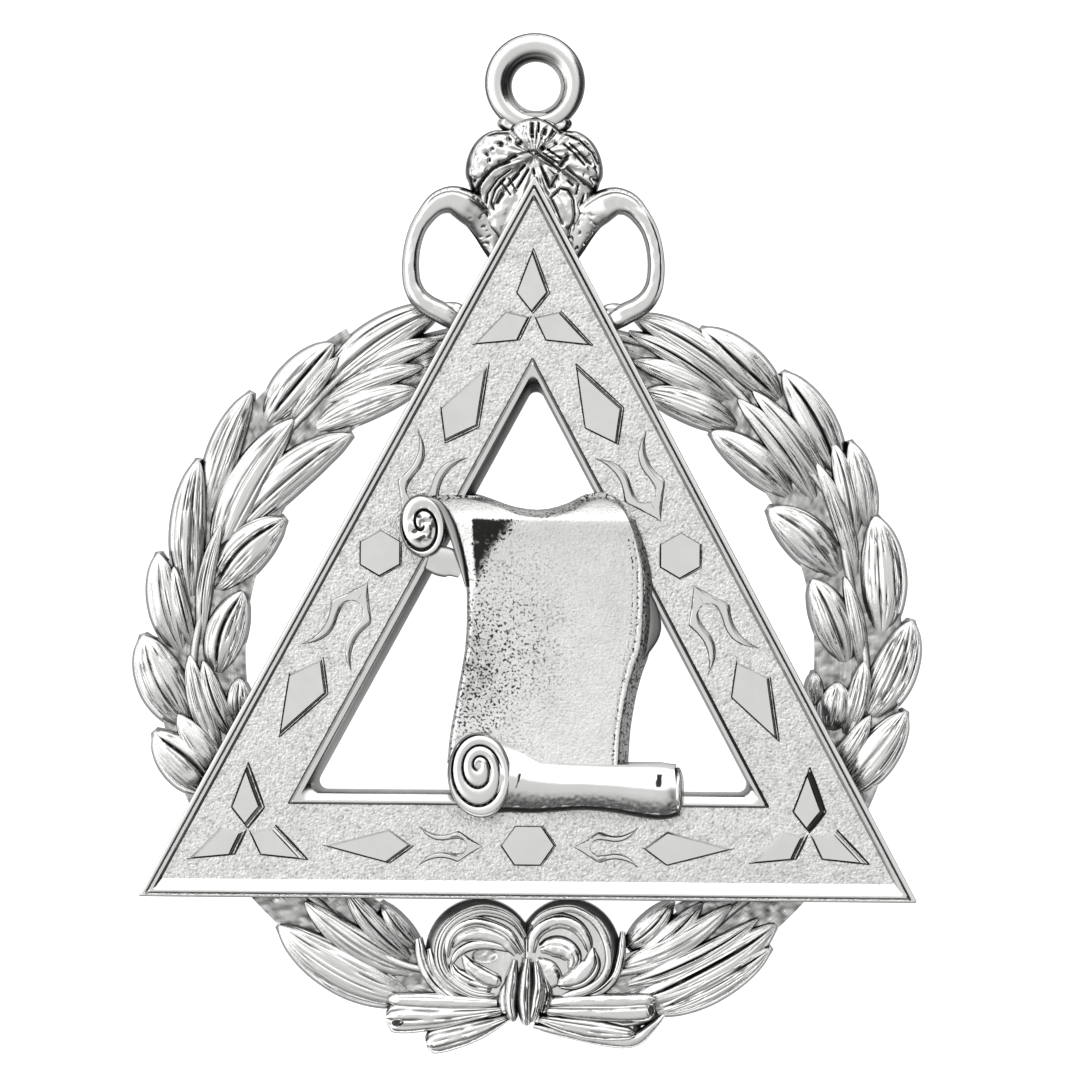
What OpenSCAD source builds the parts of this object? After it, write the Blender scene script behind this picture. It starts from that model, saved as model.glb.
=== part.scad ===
// A collar jewel that lies on its back: a scroll on an open triangle, in a tied laurel wreath under a crest.

/* [Wreath] */
// Radius over the tips of the leaves
wreath_r = 31; // [30:0.5:33]
// Width of the band of leaves
wreath_w = 9; // [8:0.5:10]
// Thickness over the crests of the leaves
wreath_t = 2.3; // [2:0.1:3]
// Thickness of the plate behind the leaves
plate_t = 1.1; // [0.8:0.1:1.5]
// How far the sloping sides of a casting stand out at the back
draft = 0.45; // [0.2:0.05:0.7]

/* [Bow] */
// Radius of one loop of the bow
bow_r = 3.9; // [3.2:0.1:4.4]
// Distance between the middles of the two loops
bow_gap = 7; // [6.4:0.1:8]
// Height of the knot at its crest
knot_t = 3; // [2.4:0.1:3.6]

/* [Triangle] */
// Length of the base over its points
tri_w = 62; // [56:1:66]
// Height from the base to the apex
tri_h = 57.7; // [55:0.5:60]
// Distance from the middle of the wreath down to the base
tri_drop = 19.6; // [18:0.2:21]
// Thickness of the pebbled ground
ground_t = 1.3; // [1:0.1:2]
// Height of the rims over the ground
rim_t = 0.45; // [0.3:0.05:0.7]
// Height of the ornaments over the ground
ornament_t = 0.3; // [0.15:0.05:0.6]
// Width of the two sloping bands, out to the inner rim
side_band = 6.8; // [6.4:0.1:7.2]
// Width of the base band, out to the inner rim
base_band = 7.45; // [7:0.1:8]
// Width of the outer rim along the sloping bands
side_rim = 0.95; // [0.6:0.05:1.2]
// Width of the outer rim along the base
base_rim = 1.5; // [0.8:0.1:1.8]
// Width of the inner rim
inner_rim = 0.55; // [0.3:0.05:0.8]

/* [Scroll] */
// Width of the sheet at its widest
scroll_w = 14; // [12:0.5:15]
// Length of the scroll over both of its rolls
scroll_h = 25.6; // [24:0.2:26.5]
// How far the foot of the scroll reaches below the inner edge of the base band
scroll_lap = 1.5; // [1:0.1:2]
// Thickness of the sheet where it lies over the rims
sheet_t = 1; // [0.7:0.1:1.5]
// How far the deep body of the scroll stands out at its back
scroll_draft = 0.8; // [0.4:0.1:0.9]
// Half width of the rolled foot at its waist
roll_r = 1.8; // [1.5:0.05:1.95]

/* [Hanger] */
// Radius of the crest
crest_r = 5.5; // [4.8:0.1:6]
// Height of the crest
crest_t = 3.1; // [2.6:0.1:3.6]
// Outer radius of the suspension ring
ring_r = 3.98; // [3.6:0.05:4.4]
// Radius of the hole in the suspension ring
hole_r = 2; // [1.6:0.05:2.3]
// Length of the straight land in the hole
land_t = 0.9; // [0.6:0.1:1.4]
// Half thickness of a side loop
loop_wire_r = 0.75; // [0.6:0.05:0.9]
// Half width of a side loop, to the middle of its wire
loop_rx = 3.35; // [3:0.05:3.6]
// Half height of a side loop, to the middle of its wire
loop_ry = 4.65; // [4.3:0.05:5]

/* [Pegs] */
// Radius of the cast pegs of the triangle
peg_r = 0.7; // [0.5:0.05:0.9]
// Radius of the cast pegs of the scroll
scroll_peg_r = 0.42; // [0.3:0.02:0.5]
// Clearance between two castings and round a peg
fit = 0.15; // [0.1:0.01:0.2]

/* [Hidden] */
$fn = 32;
eps = 0.01;
silver = [0.8, 0.81, 0.82];

wreath_in = wreath_r - wreath_w;

// Levels over the back of the wreath
hanger_z = plate_t + fit;
tri_z = wreath_t + fit;
ground_z = tri_z + ground_t;
rim_z = ground_z + rim_t;
lap_z = rim_z + fit;
sheet_z = lap_z + sheet_t;
ring_z = hanger_z + 0.7 * (ring_r - hole_r);

// The triangle, in the wreath's own plan: its slope, base and apex
tri_slope = tri_h / (tri_w / 2);
tri_stretch = sqrt(1 + tri_slope * tri_slope) / tri_slope;
tri_base_y = -tri_drop;
tri_top_y = tri_base_y + tri_h;
corner_r = 0.4;
opening_r = 1.1;
wall_in = 0.55;

// The crest stands over the apex, and the ring over the crest
crest_y = tri_top_y + 0.25 * crest_r;
ring_y = crest_y + 0.34 * crest_r + ring_r;
loop_x = 1.16 * crest_r;
loop_y = crest_y - 1.49 * crest_r;

// The bow closes the wreath below
bow_y = -(wreath_in + 0.22 * wreath_w);
bow_shift = -0.09 * bow_r;

// Overall length, and the middle that the origin takes
foot_y = bow_y - 2.12 * bow_r;
mid_y = (ring_y + ring_r + foot_y) / 2;

// Where the pegs of the triangle stand: one over the point of its opening, two in its sides and two in
// its base, all over the wreath. A lug of the wreath reaches to the top one.
side_peg_y = tri_base_y + 0.146 * tri_h;
side_peg_x = (tri_top_y - side_peg_y) / tri_slope - side_band * tri_stretch / 2;
base_peg_y = tri_base_y + 0.2 * base_band;
base_peg_x = sqrt(pow(wreath_in + 0.25 * wreath_w, 2) - pow(base_peg_y, 2));
lug_y = wreath_in + 0.28 * wreath_w;
top_peg_y = tri_top_y - 0.945 * side_band * tri_stretch * tri_slope;
pegs = [[0, top_peg_y], [side_peg_x, side_peg_y], [-side_peg_x, side_peg_y], [base_peg_x, base_peg_y],
    [-base_peg_x, base_peg_y]];

// One row for each leaf: turn and place across the band of its base, the same of its tip,
// and its width as a share of the band. A turn is in degrees from the bow.
leaf_from = 0;
leaf_from_at = 1;
leaf_to = 2;
leaf_to_at = 3;
leaf_width = 4;
left_leaves = [
    [19, 0.80, 42, 0.84, 0.40],
    [20, 0.58, 41.5, 0.53, 0.26],
    [21, 0.47, 37, 0.22, 0.20],
    [20, 0.36, 30, 0.14, 0.16],
    [66, 0.58, 77.5, 0.95, 0.40],
    [67, 0.45, 79.5, 0.72, 0.24],
    [78, 0.66, 92, 0.985, 0.42],
    [72, 0.45, 89, 0.57, 0.20],
    [74, 0.30, 88, 0.45, 0.18],
    [76, 0.20, 84.5, 0.14, 0.20],
    [90, 0.66, 104.4, 0.96, 0.30],
    [91, 0.55, 103, 0.80, 0.14],
    [86, 0.35, 101.5, 0.16, 0.34],
    [92, 0.47, 112, 0.52, 0.14],
    [101, 0.42, 118, 0.04, 0.38],
    [99, 0.60, 119.6, 0.95, 0.30],
    [107, 0.47, 134, 0.50, 0.34],
    [112, 0.38, 140, 0.06, 0.34],
    [114, 0.68, 132.4, 0.93, 0.27],
    [131, 0.66, 147, 0.80, 0.33],
    [134, 0.52, 146.5, 0.68, 0.16],
    [136, 0.30, 156, 0.10, 0.26],
    [141, 0.42, 159, 0.26, 0.18],
    [142, 0.54, 165, 0.72, 0.34],
    [146, 0.46, 163, 0.44, 0.20],
];
right_leaves = [
    [18, 0.78, 42.5, 0.80, 0.34],
    [20, 0.92, 39.5, 0.93, 0.26],
    [17, 0.62, 41, 0.66, 0.18],
    [17, 0.46, 39, 0.42, 0.22],
    [20, 0.42, 35, 0.25, 0.18],
    [19, 0.30, 30, 0.10, 0.20],
    [66, 0.56, 81.5, 0.92, 0.36],
    [68, 0.40, 80, 0.62, 0.18],
    [80, 0.62, 95.2, 0.945, 0.38],
    [76, 0.30, 85, 0.30, 0.30],
    [80, 0.12, 86.5, 0.08, 0.14],
    [76, 0.45, 89, 0.52, 0.20],
    [89, 0.36, 105, 0.14, 0.34],
    [88, 0.50, 104, 0.42, 0.14],
    [94, 0.68, 112, 0.84, 0.38],
    [104, 0.52, 124, 0.60, 0.16],
    [105, 0.38, 121.5, 0.03, 0.38],
    [110, 0.60, 125, 0.82, 0.20],
    [111, 0.76, 123.8, 0.95, 0.22],
    [119, 0.42, 141, 0.46, 0.22],
    [119, 0.56, 140, 0.60, 0.18],
    [122, 0.25, 141, 0.09, 0.30],
    [121, 0.72, 138.3, 0.90, 0.32],
    [136, 0.70, 152.5, 0.80, 0.30],
    [138, 0.26, 157, 0.08, 0.28],
    [143, 0.38, 161, 0.30, 0.20],
    [142, 0.44, 163, 0.52, 0.18],
    [141, 0.58, 163, 0.68, 0.28],
];
// Sections of a leaf: share of its length, of its width and of its rise
leaf_sections = [[0, 0.3, 0.4], [0.16, 0.72, 0.8], [0.4, 1, 1], [0.66, 0.84, 1], [0.86, 0.5, 0.86], [1, 0.08, 0.6]];

// Sections of the four ribbon ends: across and down from the middle of the bow, and half width,
// all as shares of a loop's radius
ribbon_ends = [
    [[-0.3, -1.15, 0.14], [-1.2, -1.25, 0.2], [-2.2, -1.3, 0.25], [-2.75, -1.27, 0.22]],
    [[-0.3, -1.3, 0.14], [-1.05, -1.58, 0.2], [-1.8, -1.78, 0.22], [-2, -1.82, 0.18]],
    [[0.35, -1.12, 0.12], [1.2, -1.15, 0.16], [2.2, -1.12, 0.24], [2.6, -1.08, 0.2]],
    [[0.35, -1.38, 0.12], [1.1, -1.5, 0.2], [1.95, -1.58, 0.16], [2.2, -1.6, 0.12]],
];
// Sections of a rib of the knot: spread and drop as shares of a loop's radius, half width, height
knot_rows = [[0.08, 0.2, 0.13, 0.77], [0.19, 0.75, 0.18, 1], [0.22, 1.35, 0.19, 0.77]];
// Ribs across one loop of the bow: place as a share of the radius, height as a share of the wreath's
loop_ribs = [[1, 0.66], [0.93, 0.95], [0.8, 0.86], [0.7, 1.02], [0.56, 0.9], [0.46, 1], [0.3, 0.62], [0, 0.56]];

// Outline of half of the crest: degrees up from the right, share of its radius
crest_outline = [[-90, 1.2], [-79, 1.32], [-68, 1.49], [-64, 1.49], [-60, 1.43], [-53, 1.37], [-46, 1.29], [-33, 1.13],
    [-21, 1.03], [-16, 1.01], [-7, 0.98], [3, 0.93], [16, 0.85], [30, 0.73], [40, 0.58], [47, 0.51], [56, 0.54],
    [74, 0.56], [90, 0.56]];
// Height of the crest round the same way: its petals below lie lower than its lobes above
crest_heights = [[-90, 0.78], [-76, 0.88], [-66, 0.76], [-55, 0.88], [-45, 0.78], [-34, 0.86], [-27, 0.74], [-24, 1],
    [30, 1], [44, 0.9], [52, 1.04], [90, 1.1]];
// Sections of the crest from its middle out: share of the radius, share of the height
crest_sections = [[0.12, 0.84], [0.32, 0.94], [0.56, 1], [0.8, 0.93], [0.93, 0.8], [1, 0.55]];
// Sections of a side loop: degrees round its ellipse, half width as a share of the wire's
loop_rows = [[132, 1.5], [118, 1.42], [104, 1.32], [90, 1.2], [75, 1.1], [60, 1.02], [45, 0.95], [30, 0.88], [15, 0.82],
    [0, 0.8], [-15, 0.8], [-30, 0.83], [-45, 0.88], [-60, 0.92], [-72, 0.88], [-80, 0.7], [-85, 0.35]];

// Sections of the sheet from the top down: share of the scroll's length, the left and the right edge
// as shares of the sheet's width, and its height as a share of the sheet's thickness
sheet_rows = [[0.14, -0.44, 0.597, 1.35], [0.19, -0.4, 0.626, 1.2], [0.25, -0.36, 0.65, 1.12], [0.3, -0.355, 0.655, 1.06],
    [0.37, -0.355, 0.655, 1.02], [0.43, -0.358, 0.65, 1], [0.49, -0.366, 0.637, 1], [0.55, -0.382, 0.6, 1],
    [0.61, -0.402, 0.57, 1.02], [0.67, -0.42, 0.548, 1.05], [0.74, -0.442, 0.53, 1.1], [0.84, -0.46, 0.52, 1.2]];
// Its top edge from right to left, and the path of the rolled head below it with its half width
top_rows = [[0.56, 0.09], [0.51, 0.037], [0.445, 0.013], [0.38, 0.004], [0.32, 0.012], [0.2, 0.045], [0.06, 0.066],
    [-0.1, 0.056], [-0.22, 0.033], [-0.33, 0.016], [-0.5, 0.01], [-0.62, 0.018], [-0.57, 0.05], [-0.5, 0.075]];
head_rows = [[-0.64, 0.05, 0.03], [-0.55, 0.047, 0.05], [-0.42, 0.046, 0.06], [-0.3, 0.056, 0.065], [-0.16, 0.078, 0.065],
    [0, 0.1, 0.065], [0.12, 0.095, 0.065], [0.24, 0.07, 0.065], [0.34, 0.045, 0.065], [0.44, 0.05, 0.06],
    [0.52, 0.09, 0.05], [0.57, 0.14, 0.025]];
// The lap of the sheet under its curl
lap_rows = [[-0.37, 0.32], [-0.34, 0.06], [-0.58, 0.06], [-0.575, 0.25], [-0.43, 0.258], [-0.39, 0.285]];
// The rolled foot: across and down, half width as a share of that at its waist, height as a share of
// its half width
foot_rows = [[-0.22, 0.875, 1.61, 0.7], [-0.1, 0.885, 1.44, 0.78], [0.03, 0.9, 1.22, 0.85], [0.17, 0.905, 1.06, 0.95],
    [0.32, 0.905, 0.99, 1], [0.5, 0.91, 1.03, 1], [0.66, 0.917, 1.14, 0.96], [0.76, 0.92, 1.17, 0.95],
    [0.84, 0.915, 1, 0.95], [0.885, 0.907, 0.64, 1]];

// Half outline of a forked ornament, open at its tail: share of its length, outer and inner half width
fork_outer = [[0, 0], [0.33, 0.8], [0.45, 0.72], [0.62, 0.58], [0.8, 0.7], [1, 1]];
fork_inner = [[0.94, 0.8], [0.8, 0.4], [0.65, 0.2], [0.5, 0.2], [0.34, 0.3], [0.22, 0]];

function mix(a, b, t) = a + (b - a) * t;
// A point of the wreath at a turn from the bow and a place across the band; side is 1 or -1
function band_point(turn, across, side) =
    let (r = wreath_in + across * wreath_w) [side * r * sin(turn), -r * cos(turn)];
function unit(v) = v / norm(v);
function heading(path, i) = unit(path[min(i + 1, len(path) - 1)] - path[max(i - 1, 0)]);

// The triangle drawn in from its outline by a distance on its sides and one on its base
function inset_triangle(side, base) =
    let (dx = side * tri_stretch, y = tri_base_y + base, x = (tri_top_y - y) / tri_slope - dx)
        [[-x, y], [x, y], [0, tri_top_y - dx * tri_slope]];
// The same with corners of radius r, as a loop of points
function round_triangle(side, base, r) =
    let (p = inset_triangle(side + r, base + r), a = atan(tri_slope))
        [for (i = [0:2]) for (k = [0:4])
            let (t = mix([90 + a, -90, 90 - a][i], [270, 90 - a, 90 + a][i], k / 4)) p[i] + r * [cos(t), sin(t)]];

// A solid between a loop of points at one level and a loop of as many at another
module frustum(low, high, z0, z1) {
    n = len(low);
    polyhedron(
        points = concat([for (p = low) [p[0], p[1], z0]], [for (p = high) [p[0], p[1], z1]]),
        faces = concat([[for (i = [0:n - 1]) i]], [[for (i = [n - 1:-1:0]) n + i]],
            [for (i = [0:n - 1]) [i, n + i, n + (i + 1) % n, (i + 1) % n]]));
}

// A relief strip along a path: rows are [point, half width, height of its crest], its sides slope out
// to the back, and its edges lie at a share of the crest
module relief(rows, z0, z_edge, slope) {
    n = len(rows);
    path = [for (r = rows) r[0]];
    points = [for (i = [0:n - 1])
        let (d = heading(path, i), s = [-d[1], d[0]], push = (i == 0 ? -slope : i == n - 1 ? slope : 0) * d,
            w = rows[i][1], z = rows[i][2], e = mix(z_edge, z, 0.45))
            each [concat(rows[i][0] + s * (w + slope) + push, z0), concat(rows[i][0] + s * w, e),
                concat(rows[i][0], z), concat(rows[i][0] - s * w, e),
                concat(rows[i][0] - s * (w + slope) + push, z0)]];
    polyhedron(points = points, faces = concat(
        [[0, 1, 2, 3, 4]], [[for (j = [4:-1:0]) (n - 1) * 5 + j]],
        [for (i = [0:n - 2]) for (j = [0:4])
            let (a = i * 5 + j, b = a + 5, c = (i + 1) * 5 + (j + 1) % 5, d = i * 5 + (j + 1) % 5)
                each [[a, b, c], [a, c, d]]]));
}

// A half-round strip along a path: rows are [point, half width, height of its crest]
module half_round(rows, z0) {
    n = len(rows);
    path = [for (r = rows) r[0]];
    sides = 8;
    points = [for (i = [0:n - 1])
        let (d = heading(path, i), s = [-d[1], d[0]])
            for (k = [0:sides]) let (t = 180 * k / sides)
                concat(rows[i][0] + s * rows[i][1] * cos(t), z0 + (rows[i][2] - z0) * sin(t))];
    m = sides + 1;
    polyhedron(points = points, faces = concat(
        [[for (j = [0:m - 1]) j]], [[for (j = [m - 1:-1:0]) (n - 1) * m + j]],
        [for (i = [0:n - 2]) for (j = [0:m - 1])
            let (a = i * m + j, b = a + m, c = (i + 1) * m + (j + 1) % m, d = i * m + (j + 1) % m)
                each [[a, b, c], [a, c, d]]]));
}

module leaf(row, side) {
    relief([for (s = leaf_sections)
        [band_point(mix(row[leaf_from], row[leaf_to], s[0]), mix(row[leaf_from_at], row[leaf_to_at], s[0]), side),
            row[leaf_width] * wreath_w / 2 * s[1], mix(plate_t, wreath_t, s[2])]],
        0, plate_t, draft);
}

// A part of the plate behind the leaves, between two turns and two places across
module plate_arc(from, to, inner, outer) {
    linear_extrude(plate_t)
        polygon(concat([for (k = [0:24]) band_point(mix(from, to, k / 24), inner, 1)],
            [for (k = [24:-1:0]) band_point(mix(from, to, k / 24), outer, 1)]));
}

module bow_loop(x) {
    translate([x, bow_y])
        rotate_extrude($fn = 26)
            polygon(concat([[0, 0], [bow_r + draft, 0]], [for (r = loop_ribs) [r[0] * bow_r, r[1] * wreath_t]]));
}

// Four ribs of the knot, which spread downwards
module knot() {
    for (k = [-1.5:1:1.5])
        hull() {
            for (r = knot_rows)
                translate([r[0] * k, -r[1]] * bow_r + [0, bow_y])
                    cylinder(r1 = r[2] * bow_r, r2 = 0.4 * r[2] * bow_r, h = r[3] * knot_t, $fn = 12);
        }
}

module wreath() {
    color(silver)
        difference() {
            union() {
                for (row = left_leaves) leaf(row, -1);
                for (row = right_leaves) leaf(row, 1);
                for (side = [-1, 1]) scale([side, 1, 1]) {
                    plate_arc(30, 150, 0.14, 0.84);
                    plate_arc(8, 30, 0.36, 0.84);
                    plate_arc(149, 180, 0.08, 0.5);
                }
                hull()
                    for (y = [lug_y, top_peg_y])
                        translate([0, y, 0.05]) cylinder(r = 2 * peg_r, h = plate_t - 0.1);
                bow_loop(bow_shift - bow_gap / 2);
                bow_loop(bow_shift + bow_gap / 2);
                knot();
                for (rows = ribbon_ends)
                    translate([bow_shift, bow_y])
                        relief([for (r = rows) [[r[0], r[1]] * bow_r, r[2] * bow_r, 0.95 * wreath_t]], 0, plate_t, draft);
                // Short bars that stop the ribbon behind the knot
                for (x = [-0.5:0.25:0.25])
                    hull() {
                        translate([x * bow_r, bow_y - 0.5 * bow_r]) cylinder(r = 0.13 * bow_r, h = plate_t, $fn = 12);
                        translate([(x + 0.25) * bow_r, bow_y - 1.3 * bow_r]) cylinder(r = 0.13 * bow_r, h = plate_t, $fn = 12);
                    }
            }
            for (p = pegs)
                translate(concat(p, -1))
                    cylinder(r = peg_r + fit, h = wreath_t + 2, $fn = 24);
        }
}

// The fluted crest: one ring of points for each section, every second one lower
module crest() {
    n = 72;
    rings = len(crest_sections);
    turn = [for (i = [0:n - 1]) 360 * i / n - 90];
    half = [for (a = turn) a <= 90 ? a : 180 - a];
    reach = [for (a = half) crest_r * lookup(a, crest_outline)];
    rise = [for (i = [0:n - 1]) crest_t / 1.1 * lookup(half[i], crest_heights) * (i % 2 == 0 ? 1 : 0.9)];
    points = concat([[0, 0, crest_t * 0.7]],
        [for (s = crest_sections) for (i = [0:n - 1])
            [reach[i] * s[0] * cos(turn[i]), reach[i] * s[0] * sin(turn[i]), rise[i] * s[1]]],
        [for (i = [0:n - 1]) (reach[i] + draft / 2) * [cos(turn[i]), sin(turn[i]), 0]]);
    polyhedron(points = points, faces = concat(
        [for (i = [0:n - 1]) [0, 1 + (i + 1) % n, 1 + i]],
        [for (k = [0:rings - 1]) for (i = [0:n - 1])
            let (a = 1 + k * n + i, b = 1 + k * n + (i + 1) % n)
                each [[a, b, b + n], [a, b + n, a + n]]],
        [[for (i = [0:n - 1]) 1 + rings * n + i]]));
}

// One side loop, round part of an ellipse from the crest to its foot over the wreath
module side_loop() {
    half_round([for (r = loop_rows)
        [[loop_x + loop_rx * cos(r[0]), loop_y + loop_ry * sin(r[0])], loop_wire_r * r[1],
            tri_z + 1.9 * loop_wire_r * (0.6 + 0.4 * r[1])]], tri_z);
}

module suspension_ring() {
    tube_r = (ring_r - hole_r) * 0.39;
    translate([0, ring_y, ring_z])
        rotate_extrude($fn = 48) {
            for (s = [-1, 1]) translate([ring_r - tube_r, 0.4 * tube_r * s]) circle(r = tube_r);
            translate([ring_r - 2 * tube_r, -0.4 * tube_r]) square([2 * tube_r, 0.8 * tube_r]);
            translate([hole_r, -land_t / 2]) square([ring_r - tube_r - hole_r, land_t]);
        }
}

module hanger() {
    tongue_r = 0.47 * crest_r;
    color(silver)
        difference() {
            union() {
                suspension_ring();
                difference() {
                    union() {
                        translate([0, crest_y, hanger_z]) crest();
                        for (side = [0, 1]) mirror([side, 0, 0]) side_loop();
                    }
                    // Room for the apex of the triangle
                    translate([0, 0, tri_z - fit])
                        linear_extrude(crest_t * 2) polygon(inset_triangle(-fit, -fit));
                    // The hole of the ring stays open
                    translate([0, ring_y, 0]) cylinder(r = hole_r, h = 3 * crest_t, $fn = 48);
                }
                // The tongue behind the apex, which the top peg goes through
                translate([0, 0, hanger_z]) {
                    translate([-tongue_r, top_peg_y]) cube([2 * tongue_r, crest_y - top_peg_y, wreath_t - hanger_z]);
                    translate([0, top_peg_y]) cylinder(r = tongue_r, h = wreath_t - hanger_z);
                }
            }
            translate([0, top_peg_y, 0]) cylinder(r = peg_r + fit, h = wreath_t + 1);
        }
}

// Outlines of the ornaments, all as shares of the side band's width: a kite along X from its near tip
// at the origin, and a hexagon round its middle
function kite(length, half, shoulder) = side_band * [[0, 0], [shoulder, -half], [length, 0], [shoulder, half]];
function hexagon(w, h) = side_band / 2 * [for (a = [0:60:300]) [w * cos(a), h * sin(a) / sin(60)]];
function drawn_in(loop, share) =
    let (c = [for (i = [0, 1]) (max([for (p = loop) p[i]]) + min([for (p = loop) p[i]])) / 2])
        [for (p = loop) c + (p - c) * share];

module raised(loop) {
    frustum(loop, drawn_in(loop, 0.88), ground_z - 0.2, ground_z + ornament_t);
}

module fork(length, half) {
    side = concat(fork_outer, fork_inner);
    loop = side_band * concat([for (p = side) [p[0] * length, -p[1] * half]],
        [for (i = [len(side) - 2:-1:1]) [side[i][0] * length, side[i][1] * half]]);
    translate([0, 0, ground_z - 0.2]) linear_extrude(ornament_t + 0.2) polygon(loop);
}

module three_kites() {
    for (a = [90, 206, -26]) rotate(a) translate([0.02 * side_band, 0]) raised(kite(0.765, 0.194, 0.243));
}

// A place on the triangle: shares of its half base and of its height
function tri_place(x, y) = [x * tri_w / 2, tri_base_y + y * tri_h];

module ornaments() {
    side_turn = atan(tri_slope);
    translate(tri_place(0, 0.805)) three_kites();
    translate(tri_place(0, 0.075)) raised(hexagon(0.65, 0.47));
    for (s = [-1, 1]) mirror([s < 0 ? 1 : 0, 0, 0]) {
        translate(tri_place(0.72, 0.093)) three_kites();
        translate(tri_place(0.222, 0.628)) rotate(180 - side_turn) raised(kite(1.07, 0.257, 0.353));
        translate(tri_place(0.53, 0.332)) rotate(-side_turn) raised(kite(1.07, 0.257, 0.353));
        translate(tri_place(0.294, 0.073)) raised(kite(1.07, 0.206, 0.28));
        translate(tri_place(0.385, 0.476)) rotate(30) raised(hexagon(0.56, 0.485));
        translate(tri_place(0.332, 0.523)) rotate(180 - side_turn) fork(1.03, 0.34);
        translate(tri_place(0.418, 0.435)) rotate(-side_turn) fork(1.03, 0.34);
        translate(tri_place(0.117, 0.073)) fork(0.87, 0.25);
    }
}

// Pegs of the scroll: place across and share of the scroll's length from its top
scroll_pegs = [[-0.6, 0.11], [0.56, 0.11], [-0.28, 0.975], [0.72, 0.965]];
scroll_foot_y = tri_base_y + base_band - scroll_lap + 0.1 * base_band;
scroll_top_y = scroll_foot_y + scroll_h;
function scroll_place(x, down) = [x * scroll_w, scroll_top_y - down * scroll_h];

module triangle() {
    color(silver)
        difference() {
            union() {
                difference() {
                    frustum(round_triangle(0, 0, corner_r), round_triangle(draft, draft, corner_r), tri_z, rim_z);
                    difference() {
                        frustum(round_triangle(side_rim + 0.1, base_rim, corner_r),
                            round_triangle(side_rim - 0.1, base_rim / 2, corner_r), ground_z, rim_z + eps);
                        frustum(round_triangle(side_band, base_band, corner_r),
                            round_triangle(side_band + 0.1, base_band + 0.1, corner_r), tri_z, rim_z + 1);
                    }
                    frustum(round_triangle(side_band + inner_rim + wall_in, base_band + inner_rim + wall_in, opening_r),
                        round_triangle(side_band + inner_rim, base_band + inner_rim, opening_r), tri_z - eps, rim_z + eps);
                }
                ornaments();
                for (p = pegs)
                    translate(concat(p, 0)) cylinder(r = peg_r, h = ground_z - ground_t / 4);
            }
            for (p = scroll_pegs)
                translate(concat(scroll_place(p[0], p[1]), tri_z - 1))
                    cylinder(r = scroll_peg_r + fit, h = ground_t + rim_t + 2);
        }
}

// The sheet's outline, with its left edge moved in and its right and top edges moved out
function sheet_loop(left, right, top) = concat(
    [for (i = [len(sheet_rows) - 1:-1:0]) let (r = sheet_rows[i]) scroll_place(r[2], r[0]) + [right, 0]],
    [for (r = top_rows) scroll_place(r[0], r[1]) + [r[0] > 0.35 ? right : 0, top]],
    [for (r = sheet_rows) scroll_place(r[1], r[0]) + [left, 0]]);

// An upright oval with a raised spiral on its face
module curl(w, h, z_top, turns) {
    spread = (h - w) / 2;
    translate([0, 0, lap_z])
        linear_extrude(z_top - lap_z)
            hull() for (s = [-1, 1]) translate([0, s * spread]) circle(r = w / 2, $fn = 24);
    n = 20 * turns;
    function coil(k, r) = let (a = -18 * k) [r * cos(a), r * sin(a) * h / w];
    wide = w / 2 / (turns + 0.6);
    translate([0, 0, z_top - 0.2])
        linear_extrude(0.5)
            polygon(concat([for (k = [0:n]) coil(k, w / 2 - 0.05 - wide * k / 20)],
                [for (k = [n:-1:0]) coil(k, w / 2 - 0.05 - wide * (k / 20 + 0.5))]));
}

// One fold of the sheet, between two of its sections
module fold(a, b) {
    hull()
        for (r = [a, b])
            translate(concat(scroll_place(r[1], r[0]) + [0.12, 0.05], lap_z + 0.1))
                cube([(r[2] - r[1]) * scroll_w - 0.24, 0.12, sheet_t * r[3] - 0.1]);
}

module scroll() {
    color(silver)
        union() {
            // The sheet over the rims, and the deep body that drops into the opening
            translate([0, 0, lap_z]) linear_extrude(0.9 * sheet_t) polygon(sheet_loop(0, 0, 0));
            for (i = [1:len(sheet_rows) - 1]) fold(sheet_rows[i - 1], sheet_rows[i]);
            translate([0, 0, lap_z]) linear_extrude(sheet_t / 2) polygon([for (r = lap_rows) scroll_place(r[0], r[1])]);
            intersection() {
                translate([0, -0.08]) {
                    frustum(sheet_loop(0.1, scroll_draft, scroll_draft / 2), sheet_loop(0.1, scroll_draft / 4, scroll_draft / 8), tri_z, lap_z + 0.4 * sheet_t);
                    translate([0.1, 0.1, tri_z + 1])
                        linear_extrude(lap_z - tri_z - 0.5) polygon([for (r = lap_rows) scroll_place(r[0], r[1])]);
                }
                translate([0, 0, tri_z - 1])
                    linear_extrude(sheet_z - tri_z + 1)
                        polygon(round_triangle(side_band + inner_rim + wall_in + fit, base_band + inner_rim + wall_in + fit,
                            opening_r));
            }
            half_round([for (r = head_rows) [scroll_place(r[0], r[1]), r[2] * scroll_w, sheet_z + 0.6]], lap_z);
            half_round([for (r = foot_rows) let (w = r[2] * roll_r) [scroll_place(r[0], r[1]), w, lap_z + w * r[3]]], lap_z);
            translate(scroll_place(-0.28, 0.875)) curl(2.78 * roll_r, 3.67 * roll_r, sheet_z + 0.55 * roll_r, 2);
            translate(scroll_place(-0.62, 0.11)) curl(1.94 * roll_r, 2.72 * roll_r, sheet_z + 0.39 * roll_r, 1);
            for (p = scroll_pegs)
                translate(concat(scroll_place(p[0], p[1]), tri_z)) cylinder(r = scroll_peg_r, h = lap_z + 0.4 - tri_z);
        }
}

translate([0, -mid_y]) wreath();
translate([0, -mid_y]) hanger();
translate([0, -mid_y]) triangle();
translate([0, -mid_y]) scroll();
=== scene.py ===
import random
from math import atan, atan2, copysign, cos, degrees, exp, hypot, pi, radians, sin, sqrt

import bmesh
import bpy
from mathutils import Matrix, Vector, noise


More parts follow.
